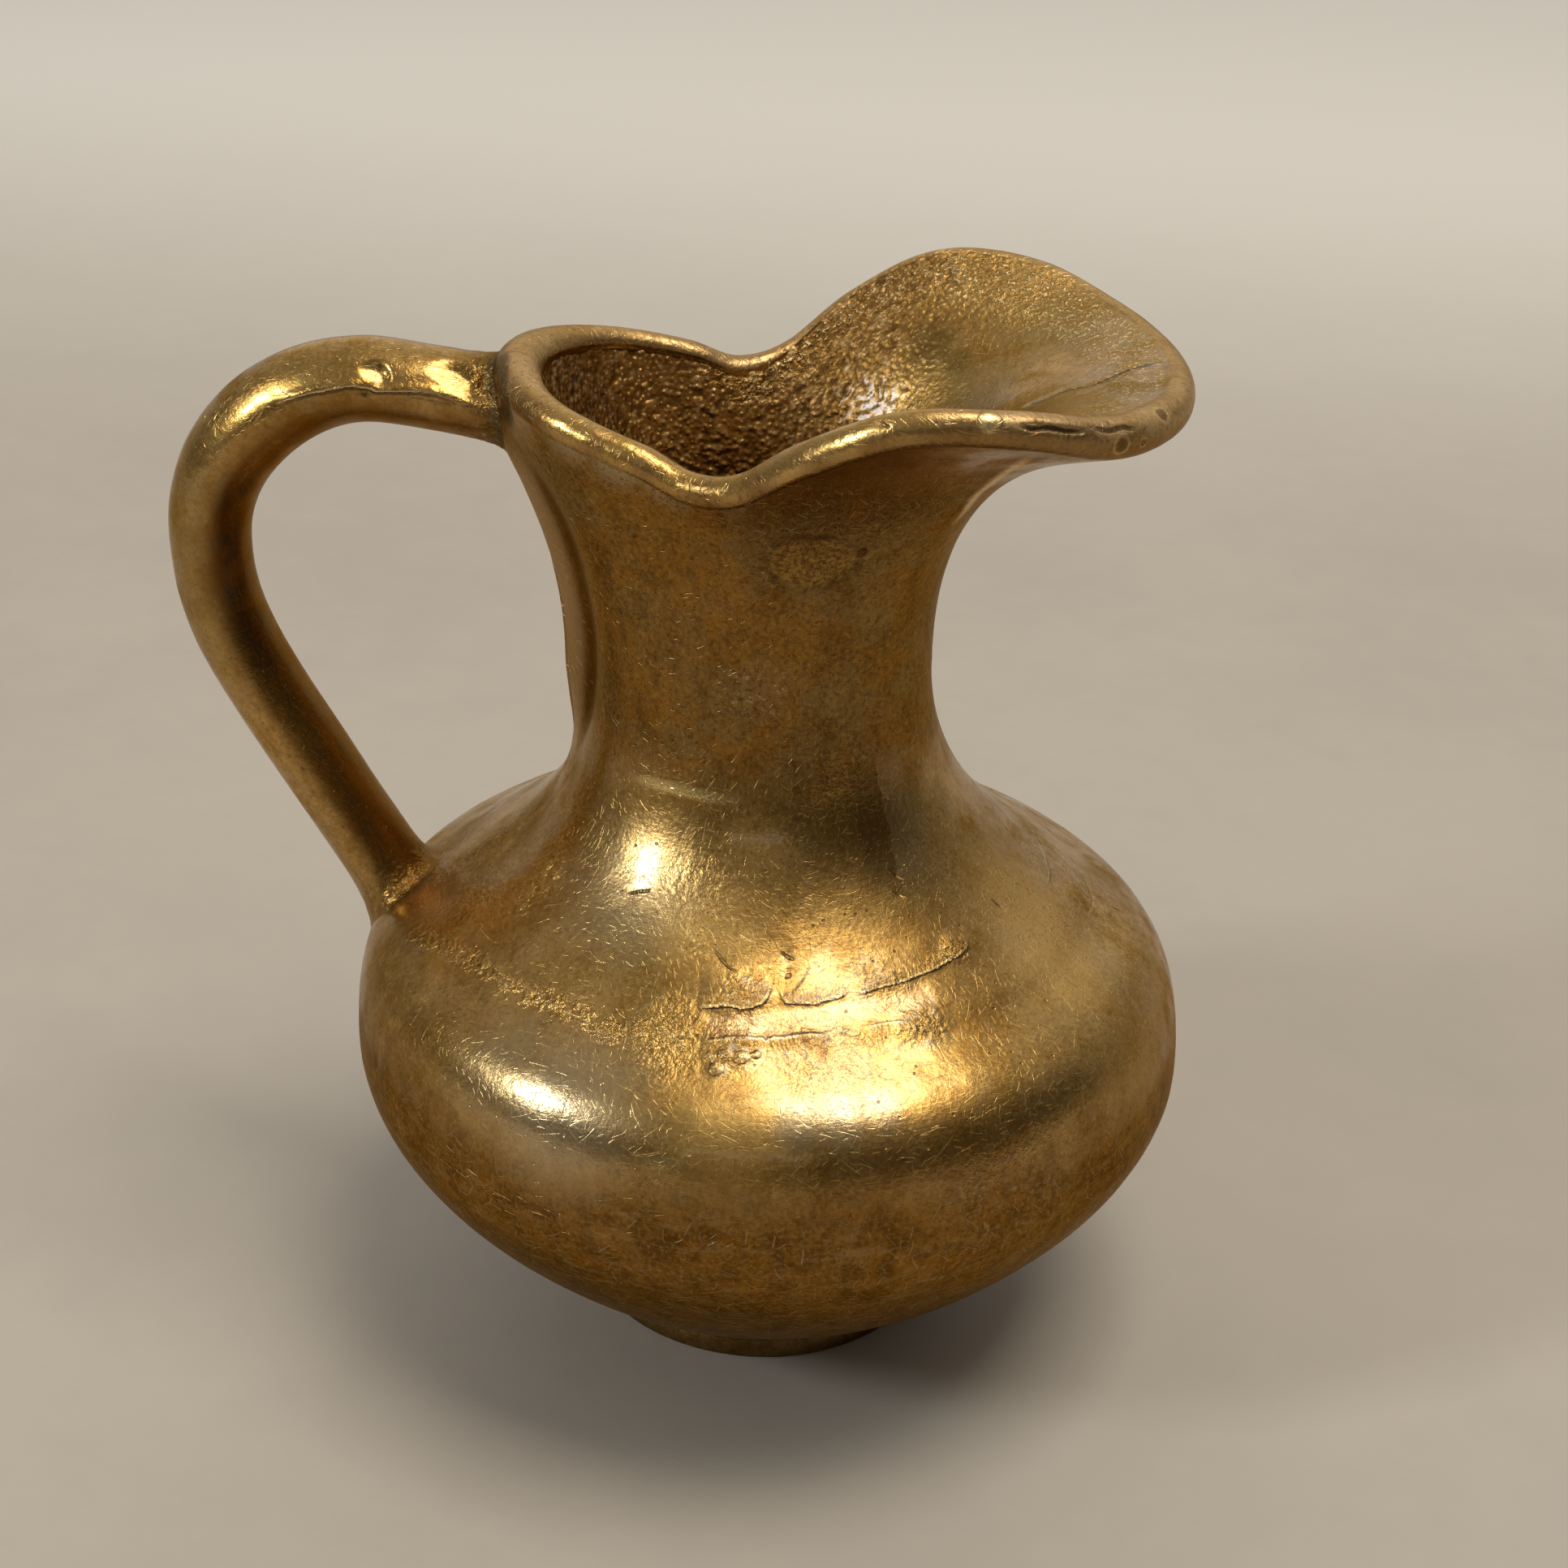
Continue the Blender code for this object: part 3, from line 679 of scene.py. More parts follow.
def far_joint(side):
    """One ragged lap line around the far side, in pieces with gaps between them."""
    draw = np.random.default_rng(FAR_SEEDS[side])
    lines, start = [], FAR_JOINT[0]
    while start < FAR_JOINT[1]:
        end = min(start + draw.uniform(*FAR_PIECES), FAR_JOINT[1])
        turns = np.linspace(start, end, max(int((end - start) / FAR_STEP), 4))
        wander = np.cumsum(draw.normal(0.0, FAR_WANDER, len(turns)))
        wander -= np.linspace(0.0, wander[-1], len(turns))
        marks = seam + side * (FAR_OFFSET + draw.uniform(*FAR_SHIFTS)) + wander
        spots = stand(outer.at(marks), turns)
        lines.append((spots[::side], draw.uniform(*FAR_STRENGTHS)))
        start = end + draw.uniform(*FAR_GAPS)
    return lines


def lift(mesh, height):
    """Moves each point along its normal, in millimetres."""
    put(mesh, places(mesh) + normals(mesh) * height[:, None])


# Handle: the moulds' parting step on the photograph's side, mirrored on the other
PARTING_LINE = (
    (325, 506), (337, 499), (383, 486), (433, 477), (454, 481), (467, 484), (525, 484), (567, 497),
    (590, 501),
)
PARTING_STEP = 0.26

# Dents in the handle, or bumps below zero: middle, reach, depth
HANDLE_DENTS = (
    ((450, 482), 0.7, 0.22), ((505, 462), 2.2, -0.12), ((600, 488), 0.8, 0.35), ((586, 462), 0.9, 0.25),
    ((592, 475), 0.6, -0.2),
)

# Flats knocked or filed on the handle: middle, reach, how deep, and which way they face
HANDLE_FLATS = (
    ((458, 467), 1.7, 0.14, (0.25, -0.60, 0.75)), ((555, 479), 2.8, 0.09, (0.30, -0.54, 0.79)),
)


def handle_marks(item):
    """The parting step along both sides, the chip and dents beside it, and the measure that places the
    painted shade on the inner face.
    """
    mesh, tree = item.data, tree_of(item.data)
    points = places(mesh)
    along = np.empty(len(points), np.float32)
    mesh.attributes["along"].data.foreach_get("value", along)
    line = handle_line()
    centre = line.at(along)
    slope = line.read(line.slopes, along)
    outward = (points[:, 0] - centre[:, 0]) * slope[:, 1] - (points[:, 2] - centre[:, 1]) * slope[:, 0]
    outward *= np.sign(outward[np.argmax(points[:, 2])]) * 2 / HANDLE_THICKNESS
    store(mesh, "outward", outward)
    near_side = follow(tree, PARTING_LINE)
    far_side = near_side[::-1] * (1.0, -1.0, 1.0)
    parting, on = mark(mesh, tree, "parting", (), ((near_side, 1.0), (far_side, 0.6)), 4.0)
    height = PARTING_STEP * on * smooth(parting, -0.08, 0.12) * np.exp(-np.maximum(parting, 0.0) / 1.1)
    for pixel, reach, depth, way in HANDLE_FLATS:
        way = np.array(way) / np.linalg.norm(way)
        gap = points - seen(tree, pixel)
        within = fade(np.linalg.norm(gap, axis=1), reach * 0.5, reach)
        height -= np.maximum(gap @ way + depth, 0.0) * within
    for pixel, radius, depth in HANDLE_DENTS:
        distance = gap_to(points, tree, pixel)
        height -= depth * np.exp(-(distance / radius)**2 * 2.0)
    at_top = fade(along, 1.0, 3.4)
    at_root = smooth(along, line.length - 5.0, line.length - 2.0)
    store(mesh, "rough", np.maximum(at_top, at_root * 0.6))
    store(mesh, "grain", np.maximum(at_top, at_root * 0.4))
    lift(mesh, height)


def spread_out(points, tree, patches):
    """The strongest of some soft patches at each point."""
    share = np.zeros(len(points))
    for pixel, radius, strength in patches:
        distance = gap_to(points, tree, pixel)
        share = np.maximum(share, strength * fade(distance, radius * 0.2, radius))
    return share


def outside_marks(item):
    """Laps, ridges, gouges, cracks, the filed band, dents and the rib's valley, as real relief."""
    mesh, tree = item.data, tree_of(item.data)
    points = places(mesh)
    mark(mesh, tree, "joint", JOINT_DIRT)
    mark(mesh, tree, "border", TONE_BORDER, run_out=2.0)
    height = np.zeros(len(points))
    laps = (("upper_lap", UPPER_LAPS, 1, UPPER_STEP), ("lower_lap", LOWER_LAPS, -1, LOWER_STEP))
    for name, lines, side, step in laps:
        away, on = mark(mesh, tree, name, lines, far_joint(side))
        height += step * on * smooth(away, -0.10, 0.10) * np.exp(-np.maximum(away, 0.0) / 4.0)
    for name, lines, rise, reach, run_out in CREASES:
        away, on = mark(mesh, tree, name, lines, run_out=run_out)
        height += rise * on * bell(away, reach)
    band, on = mark(mesh, tree, "band", SEAM_BAND)
    height -= BAND_DEPTH * on * fade(np.abs(band), 0.6, 1.3)
    spot = np.full(len(points), FAR_AWAY)
    for name, patches in (("matte", MATTE_PATCHES), ("dark", DARK_PATCHES), ("rust", RUST_PATCHES),
                          ("satin_painted_sheen", SATIN_SHEEN_PATCHES), ("glossy_painted_highlight", GLOSSY_HIGHLIGHT_PATCHES), ("grain", ROUGH_PATCHES)):
        store(mesh, name, spread_out(points, tree, patches))
    for pixel, radius, depth in ROUND_MARKS:
        share = gap_to(points, tree, pixel) / radius
        spot = np.minimum(spot, share)
        height -= depth * fade(share, 0.2, 1.0)
    store(mesh, "spot", spot)
    drop = np.minimum.reduce([gap_to(points, tree, pixel) / radius for pixel, radius in BEADS])
    store(mesh, "drop", drop)
    height += DROP_RISE * np.sqrt(np.clip(1.0 - drop * drop, 0.0, 1.0))
    middle = seen(tree, STAIN_MIDDLE)
    aside = (points - middle) @ np.array(EYE_RIGHT) / STAIN_RADII[0]
    above = (points - middle) @ np.array((0.0, 0.0, 1.0)) / STAIN_RADII[1]
    behind = (points - middle) @ np.array(EYE_BACK) < -6.0
    store(mesh, "stain", np.where(behind, FAR_AWAY, np.hypot(aside, above)))
    within = rib_spread(points[:, 2]) - np.abs(points[:, 1])
    within = np.where(points[:, 0] < -8.0, within, -FAR_AWAY)
    on_rib = between(points[:, 2], RIB_SIDE_ENDS)
    valley = bell(within, VALLEY_REACH) * on_rib
    store(mesh, "valley", valley)
    store(mesh, "facet", smooth(within, 0.5, 1.3) * on_rib)
    height -= VALLEY_DEPTH * valley
    lift(mesh, height)


def inside_marks(item):
    """Smudges and a crack inside the spout."""
    mesh, tree = item.data, tree_of(item.data)
    store(mesh, "smudge", spread_out(places(mesh), tree, SMUDGES))
    crack, on = mark(mesh, tree, "crack", SPOUT_CRACKS)
    lift(mesh, -CRACK_DEPTH * on * bell(crack, 0.22))


# ---------------- node trees

class Number:
    """A socket that holds one number. An expression on it adds the Math nodes that work it out."""

    def __init__(self, sheet, socket):
        self.sheet = sheet
        self.socket = socket

    def __add__(self, other):
        return self.sheet.maths("ADD", self, other)

    def __sub__(self, other):
        return self.sheet.maths("SUBTRACT", self, other)

    def __rsub__(self, other):
        return self.sheet.maths("SUBTRACT", other, self)

    def __mul__(self, other):
        return self.sheet.maths("MULTIPLY", self, other)

    def __rtruediv__(self, other):
        return self.sheet.maths("DIVIDE", other, self)

    def __pow__(self, other):
        return self.sheet.maths("POWER", self, other)

    def __abs__(self):
        return self.sheet.maths("ABSOLUTE", self)

    __radd__ = __add__
    __rmul__ = __mul__

    def most(self, other):
        """The larger of two."""
        return self.sheet.maths("MAXIMUM", self, other)

    def rise(self, low, high):
        """From 0 to 1, smoothly, as the number goes from low to high."""
        inputs = {"Value": self, "From Min": low, "From Max": high}
        return self.sheet.number("ShaderNodeMapRange", inputs, interpolation_type="SMOOTHSTEP")

    def fall(self, low, high):
        """From 1 to 0, smoothly, as the number goes from low to high."""
        return self.rise(high, low)

    def between(self, ends):
        """Rises from 0 to 1 between the first two ends, and falls again between the last two."""
        return self.rise(*ends[:2]) * self.fall(*ends[2:])

    def hump(self, middle, reach):
        """1 at the middle value, 0 from reach away."""
        return abs(self - middle).fall(0.0, reach)


class Sheet:
    """A node tree that is filled by calls. An input is a plain value, a Number or a socket."""

    def __init__(self, tree):
        self.tree = tree

    def add(self, kind, inputs=None, **settings):
        node = self.tree.nodes.new(kind)
        for name, value in settings.items():
            setattr(node, name, value)
        for name, value in (inputs or {}).items():
            value = value.socket if isinstance(value, Number) else value
            if isinstance(value, bpy.types.NodeSocket):
                self.tree.links.new(value, node.inputs[name])
            else:
                node.inputs[name].default_value = value
        return node

    def number(self, kind, inputs=None, output=0, **settings):
        return Number(self, self.add(kind, inputs, **settings).outputs[output])

    def maths(self, operation, *values):
        return self.number("ShaderNodeMath", dict(enumerate(values)), operation=operation)

    def vector(self, operation, *values):
        node = self.add("ShaderNodeVectorMath", dict(enumerate(values)), operation=operation)
        return node.outputs[0]

    def parts(self, value):
        outputs = self.add("ShaderNodeSeparateXYZ", {0: value}).outputs
        return [Number(self, outputs[k]) for k in (0, 1, 2)]

    def scaled(self, place, size):
        node = self.add("ShaderNodeVectorMath", {0: place, "Scale": size}, operation="SCALE")
        return node.outputs[0]

    def mix(self, share, a, b):
        colors = [(*c, 1.0) if isinstance(c, tuple) else c for c in (a, b)]
        node = self.add("ShaderNodeMix", {0: share, 6: colors[0], 7: colors[1]}, data_type="RGBA")
        return node.outputs[2]

    def link(self, shader, **inputs):
        for name, value in inputs.items():
            socket = value.socket if isinstance(value, Number) else value
            self.tree.links.new(socket, shader.inputs[name.replace("_", " ")])


# ---------------- casting tree

def numbered_tree(name, sizes):
    """A geometry tree with a geometry, a material and named number inputs."""
    tree = bpy.data.node_groups.new(name, "GeometryNodeTree")
    tree.interface.new_socket("Geometry", in_out="INPUT", socket_type="NodeSocketGeometry")
    tree.interface.new_socket("Material", in_out="INPUT", socket_type="NodeSocketMaterial")
    for size in sizes:
        tree.interface.new_socket(size, in_out="INPUT", socket_type="NodeSocketFloat")
    tree.interface.new_socket("Geometry", in_out="OUTPUT", socket_type="NodeSocketGeometry")
    sheet = Sheet(tree)
    entry = sheet.add("NodeGroupInput").outputs
    return sheet, entry, {size: Number(sheet, entry[size]) for size in sizes}


def end_tree(sheet, geometry, material):
    """Ends a geometry tree in plain geometry that carries the material."""
    real = sheet.add("GeometryNodeRealizeInstances", {0: geometry})
    shown = sheet.add("GeometryNodeSetMaterial", {"Geometry": real.outputs[0], "Material": material})
    sheet.add("NodeGroupOutput", {0: shown.outputs[0]})
    return sheet.tree


# How far apart two seeds read the noise, in millimetres
SEED_STEP = (13.0, 29.0, 7.0)


def casting_tree():
    """Gives a skin the lumps of hand filing and the grain of a sand mould, along its normals."""
    sizes = ("Lump height", "Lump size", "Dent height", "Dent size", "Grain height", "Grain size", "Seed")
    sheet, entry, given = numbered_tree("casting", sizes)
    place = sheet.scaled(sheet.add("GeometryNodeInputPosition").outputs[0], 1.0 / MM)
    place = sheet.vector("ADD", place, sheet.scaled(SEED_STEP, entry["Seed"]))

    def lumps(name, detail):
        inputs = {"Vector": place, "Scale": 1.0 / given[name + " size"], "Detail": detail}
        return (sheet.number("ShaderNodeTexNoise", inputs) - 0.5) * 2.0 * given[name + " height"]

    def read(name):
        return sheet.number("GeometryNodeInputNamedAttribute", {"Name": name}, data_type="FLOAT")

    drift = sheet.add("ShaderNodeTexNoise", {"Vector": place, "Scale": 0.7}).outputs[1]
    bent = sheet.vector("ADD", place, sheet.scaled(drift, 0.5))
    inputs = {"Vector": bent, "Scale": 1.0 / given["Grain size"]}
    cell = sheet.number("ShaderNodeTexVoronoi", inputs, "Distance", feature="SMOOTH_F1")
    fine = sheet.number("ShaderNodeTexNoise", {"Vector": place, "Scale": 1.3})
    grit = (1.0 - cell * 1.7) * 0.75 + (fine - 0.5) * 1.6
    height = lumps("Lump", 1.0) + lumps("Dent", 2.0) + read("grain") * grit * given["Grain height"]
    offset = sheet.scaled(sheet.add("GeometryNodeInputNormal").outputs[0], height * read("shown") * MM)
    moved = sheet.add("GeometryNodeSetPosition", {"Geometry": entry["Geometry"], "Offset": offset})
    inputs = {"Geometry": moved.outputs[0], "Name": "grit", "Value": grit}
    kept = sheet.add("GeometryNodeStoreNamedAttribute", inputs, data_type="FLOAT", domain="POINT")
    return end_tree(sheet, kept.outputs[0], entry["Material"])


def plain_result(item, tree, material, sizes):
    """Runs a geometry tree on an object and returns the result as a plain mesh."""
    modifier = item.modifiers.new(tree.name, "NODES")
    modifier.node_group = tree
    values = dict(sizes, Material=material)
    for socket in tree.interface.items_tree:
        if socket.in_out == "INPUT" and socket.name in values:
            modifier[socket.identifier] = values[socket.name]
    depsgraph = bpy.context.evaluated_depsgraph_get()
    mesh = bpy.data.meshes.new_from_object(item.evaluated_get(depsgraph), preserve_all_data_layers=True,
                                           depsgraph=depsgraph)
    item.modifiers.remove(modifier)
    mesh.name = item.name
    return mesh


casting = casting_tree()


def cast(item, material, **sizes):
    """Runs the casting tree on an object, with these sizes in millimetres."""
    named = {name.replace("_", " ").capitalize(): value for name, value in sizes.items()}
    item.data = plain_result(item, casting, material, named)


# ---------------- handle

def handle_line():
    """The handle's centre line in its middle plane, from the rim over the bend to the shoulder."""
    top, crown, far, root = (np.array(p) for p in (HANDLE_TOP, HANDLE_CREST, HANDLE_OUTER, HANDLE_ROOT))
    left, up = np.array((-1.0, 0.0)), np.array((0.0, 1.0))
    into_root = polar(1.0, HANDLE_ROOT_ANGLE)
    top_out, crest_in, crest_out, outer_in, outer_out, root_in = HANDLE_REACH
    into_crown = top + (left + up * TOP_RISE) * top_out
    first = bezier(top, into_crown, crown - left * crest_in, crown, BEND_STEPS)
    bend = bezier(crown, crown + left * crest_out, far + up * outer_in, far, BEND_STEPS)
    down = bezier(far, far - up * outer_out, root - into_root * root_in, root, DOWN_STEPS)
    return Line(np.concatenate((first, bend[1:], down[1:])))


def sweep_tree():
    """Sweeps a round section with a soft ridge on both sides along a curve."""
    sheet, entry, given = numbered_tree("swept_bar", ("Sides", "Width ratio", "Ridge"))
    round_section = {"Resolution": sheet.maths("ROUND", given["Sides"]), "Radius": 1.0}
    circle = sheet.add("GeometryNodeCurvePrimitiveCircle", round_section, mode="RADIUS").outputs[0]
    across, face, _ = sheet.parts(sheet.add("GeometryNodeInputPosition").outputs[0])
    wide = across * given["Width ratio"] + across * abs(across)**RIDGE_SHARPNESS * given["Ridge"]
    place = sheet.add("ShaderNodeCombineXYZ", {0: wide, 1: face})
    section = sheet.add("GeometryNodeSetPosition", {"Geometry": circle, "Position": place.outputs[0]})
    upright = {"Curve": entry["Geometry"], "Normal": (0, 1, 0)}
    level = sheet.add("GeometryNodeSetCurveNormal", upright, mode="FREE")
    inputs = {"Curve": level.outputs[0], "Profile Curve": section.outputs[0], "Fill Caps": True,
              "Scale": sheet.add("GeometryNodeInputRadius").outputs[0]}
    swept = sheet.add("GeometryNodeCurveToMesh", inputs)
    return end_tree(sheet, swept.outputs[0], entry["Material"])


def handle_skin(body_tree, material):
    """The handle, swept along its centre line, its ends drawn out onto the body as braze metal does."""
    line = handle_line()
    marks = np.linspace(0.0, line.length, HANDLE_STEPS + 1)
    centre = line.at(marks)
    size = HANDLE_THICKNESS / 2 + BEND_EXTRA * bell(marks - BEND_AT, BEND_SPREAD)
    curve = bpy.data.curves.new("handle_line", "CURVE")
    curve.dimensions = "3D"
    spline = curve.splines.new("POLY")
    spline.points.add(HANDLE_STEPS)
    for point, (x, z), radius in zip(spline.points, centre * MM, size * MM):
        point.co = (x, 0.0, z, 1.0)
        point.radius = radius
    guide = placed("handle_line", curve)
    sizes = {"Sides": float(HANDLE_SIDES), "Width ratio": HANDLE_WIDTH / HANDLE_THICKNESS,
             "Ridge": 2 * HANDLE_RIDGE / HANDLE_THICKNESS}
    mesh = plain_result(guide, sweep_tree(), material, sizes)
    bpy.data.objects.remove(guide)
    rings = places(mesh).reshape(HANDLE_STEPS + 1, HANDLE_SIDES, 3)
    for at_root in (False, True):
        fill_end(rings, marks, line, body_tree, at_root)
    put(mesh, rings.reshape(-1, 3))
    store(mesh, "along", np.repeat(marks, HANDLE_SIDES))
    sides = np.linspace(0.0, 2 * pi, HANDLE_SIDES + 1)[:-1]
    chart(mesh, np.tile(sides, HANDLE_STEPS + 1), np.repeat(marks, HANDLE_SIDES))
    return placed("handle_bar", mesh)


# Braze metal at the handle's ends: length of bar that it covers, how far it spreads, how deep it sinks
TOP_FILL = (3.8, 0.26, 0.5)
ROOT_FILL = (5.2, 0.60, 0.5)
FILL_SUNK = 0.16
FILL_START = 3.0
FILL_STIFFNESS = (0.6, 0.55)
FILL_CAP = (0.92, 0.8)


def fill_end(rings, marks, line, body_tree, at_root):
    """Draws one end of the handle out in a hollow curve onto the wall that it points at."""
    length, spread, sink = ROOT_FILL if at_root else TOP_FILL
    edge = line.length - length if at_root else length
    inner = marks > edge if at_root else marks < edge
    rows = np.where(inner)[0] if at_root else np.where(inner)[0][::-1]
    from_row = rows[0] - 1 if at_root else rows[0] + 1
    start = rings[from_row].copy()
    middle = start.mean(axis=0)
    ahead = rings[from_row + (1 if at_root else -1)].mean(axis=0) - middle
    ahead /= np.linalg.norm(ahead)
    aside = start - middle
    landing = np.empty_like(start)
    slopes = np.empty_like(start)
    for k in range(len(start)):
        origin = middle + aside[k] * (1.0 + spread) - ahead * FILL_START
        spot, normal, face, depth = body_tree.ray_cast(Vector(origin * MM), Vector(ahead))
        spot, normal = np.array(spot) / MM, np.array(normal)
        out = aside[k] / np.linalg.norm(aside[k])
        flat = out - normal * (out @ normal)
        landing[k] = spot - normal * FILL_SUNK
        slopes[k] = flat / np.linalg.norm(flat)
    depth = ((landing - start) @ ahead)[:, None]
    shares = np.linspace(0.0, 1.0, len(rows) - 1)[1:]
    for row, t in zip(rows, shares):
        toward = start + ahead * depth * FILL_STIFFNESS[0]
        back = landing - slopes * spread * HANDLE_THICKNESS * FILL_STIFFNESS[1]
        rings[row] = cubic(start, toward, back, landing, t)
    for row, share in zip(rows[-2:], FILL_CAP):
        rings[row] = landing + (landing.mean(axis=0) - landing) * (1.0 - share) + ahead * sink


# ---------------- foot

def foot_skin():
    """The low turned foot, drawn up to the belly by its fillet, in one closed skin."""
    turns = np.linspace(0.0, 2 * pi, FOOT_COLUMNS + 1)[:-1]
    outline = [(out, 0.0) for out in (2.0, 7.0, 12.0)]
    edge = FOOT_ROUNDING
    quarter = np.linspace(0.0, pi / 2, 7)
    outline += [(FOOT_RADIUS - edge + edge * sin(a), edge - edge * cos(a)) for a in quarter]
    outline += [(FOOT_RADIUS + out, height) for out, height in FOOT_FILLET]
    outline += [(out, FOOT_TOP) for out in (12.0, 6.0)]
    rows = stand(ring_rows(outline, turns), turns)
    item = closed_skin("turned_foot", rows, ((0.0, 0.0, 0.0), (0.0, 0.0, FOOT_TOP)), turns)
    store(item.data, "shown", smooth(places(item.data)[:, 2], 0.3, 0.9))
    return item


# ---------------- brass

class Look(Sheet):
    """A material's tree. Its colour, gloss and height are worked up from one layer to the next."""

    def __init__(self, name):
        self.material = bpy.data.materials.new(name)
        self.material.use_nodes = True
        super().__init__(self.material.node_tree)
        self.shader = self.tree.nodes["Principled BSDF"]
        self.place = self.scaled(self.add("ShaderNodeTexCoord").outputs["Object"], 1.0 / MM)

    def lay(self, share, tone):
        """Lays another colour over the one so far, as strongly as the share says."""
        self.color = self.mix(share, self.color, tone)

    def shifted(self, *offset):
        return self.vector("ADD", self.place, offset)

    def brushed(self, turn, length, width):
        """Places on the surface's own map, for marks that run round it and are this long and wide."""
        turns, size = (0.0, 0.0, radians(turn)), (length, width, 1.0)
        inputs = {"Vector": self.flat, "Rotation": turns, "Scale": size}
        return self.add("ShaderNodeMapping", inputs, vector_type="TEXTURE").outputs[0]

    def noise(self, grain, detail=2.0, rough=0.5, place=None):
        """Soft noise whose lumps are about this many millimetres, from 0 to 1."""
        inputs = {"Vector": place or self.place, "Scale": 1.0 / grain, "Detail": detail,
                  "Roughness": rough}
        return self.number("ShaderNodeTexNoise", inputs)

    def cells(self, size, feature="F1"):
        """Distance from the middle of the nearest cell, and that cell's own number."""
        inputs = {"Vector": self.place, "Scale": 1.0 / size}
        node = self.add("ShaderNodeTexVoronoi", inputs, feature=feature)
        return Number(self, node.outputs["Distance"]), self.parts(node.outputs["Color"])[0]

    def read(self, name):
        """A number that the mesh holds for each of its points."""
        return self.number("ShaderNodeAttribute", {}, "Fac", attribute_name=name)

    def marks(self, name):
        """How far a place is from the nearest mark of a kind, and how strong that mark is."""
        return self.read(name), self.read(name + "_on")

    def finish(self, strength, **inputs):
        """Links what was worked up to the shader."""
        relief = {"Strength": strength, "Distance": MM, "Height": self.height}
        bump = self.add("ShaderNodeBump", relief).outputs[0]
        self.link(self.shader, Base_Color=self.color, Normal=bump, **inputs)


GOLD = (0.52, 0.31, 0.085)
TAN = (0.41, 0.24, 0.058)
UMBER = (0.20, 0.09, 0.015)
OLIVE = (0.27, 0.18, 0.05)
RUST = (0.31, 0.14, 0.022)
SOOT = (0.05, 0.03, 0.013)
PALE = (0.78, 0.58, 0.27)
PINK = (0.62, 0.37, 0.16)
CLAY = (0.42, 0.27, 0.115)
SAND = (0.52, 0.36, 0.19)
EARTH = (0.23, 0.095, 0.010)
DEEP = (0.10, 0.040, 0.006)
BARK = (0.16, 0.082, 0.018)
ASH = (0.17, 0.105, 0.036)
SILVER = (0.50, 0.42, 0.27)
HONEY = (0.60, 0.38, 0.12)
PATINA = (0.125, 0.088, 0.042)
GLEAM = (0.95, 0.68, 0.26)
GRAZING = (0.74, 0.62, 0.46, 1.0)
LACQUER = 0.65
LACQUER_ROUGHNESS = 0.13
LEAST_ROUGHNESS = 0.1

# Scratches all over, and the coarser ones on dull places: how long and how wide, in millimetres
SCRAPE_SIZES = ((0.6, 0.04), (1.1, 0.045), (2.0, 0.05))
NICK_SIZES = ((1.5, 0.07), (0.9, 0.05))

# Heights between which a darker colour comes and goes, and for the handle the lengths along it: on the
# lower belly tarnish with painted shade, deep inside painted shade, on the bend an olive tone with a band
# of painted shade
BROWN_BELLY = (27.0, 32.5)
BROWN_NECK = (50.0, 57.0, 77.0, 84.0)
DARK_INSIDE = (36.0, 58.0)
DARK_BEND = (18.0, 25.0, 36.0, 48.0)

# How far from a lap's edge its raised scales lie
LAP_SCALES = (0.0, 0.1, 0.4, 1.8)


def scrapes(look, size, number, width):
    """Short scratches, one in each cell of the surface and each in its own direction: 1 on one, or 0."""
    place = look.vector("ADD", look.flat, (number * 3.7, number * 1.9, 0.0))
    inputs = {"Vector": place, "Scale": 1.0 / size}
    cell = look.add("ShaderNodeTexVoronoi", inputs, voronoi_dimensions="2D")
    turn, shown, bend = look.parts(cell.outputs["Color"])
    x, y, _ = look.parts(look.vector("SUBTRACT", place, cell.outputs["Position"]))
    cosine, sine = (look.maths(name, turn * pi) for name in ("COSINE", "SINE"))
    along = x * cosine + y * sine
    across = y * cosine - x * sine + along * along * (bend - 0.5) * (0.6 / size)
    run = abs(along).fall(size * 0.3, size * 0.55)
    return abs(across).fall(0.0, width) * run * shown.rise(0.0, 0.7)


def scratches(look, sizes, first):
    """Scratches of several sizes. Each size has its own number, so that it lies apart from the others."""
    found = 0.0
    for number, (length, width) in enumerate(sizes, first):
        found = scrapes(look, length, number, width) + found
    return found


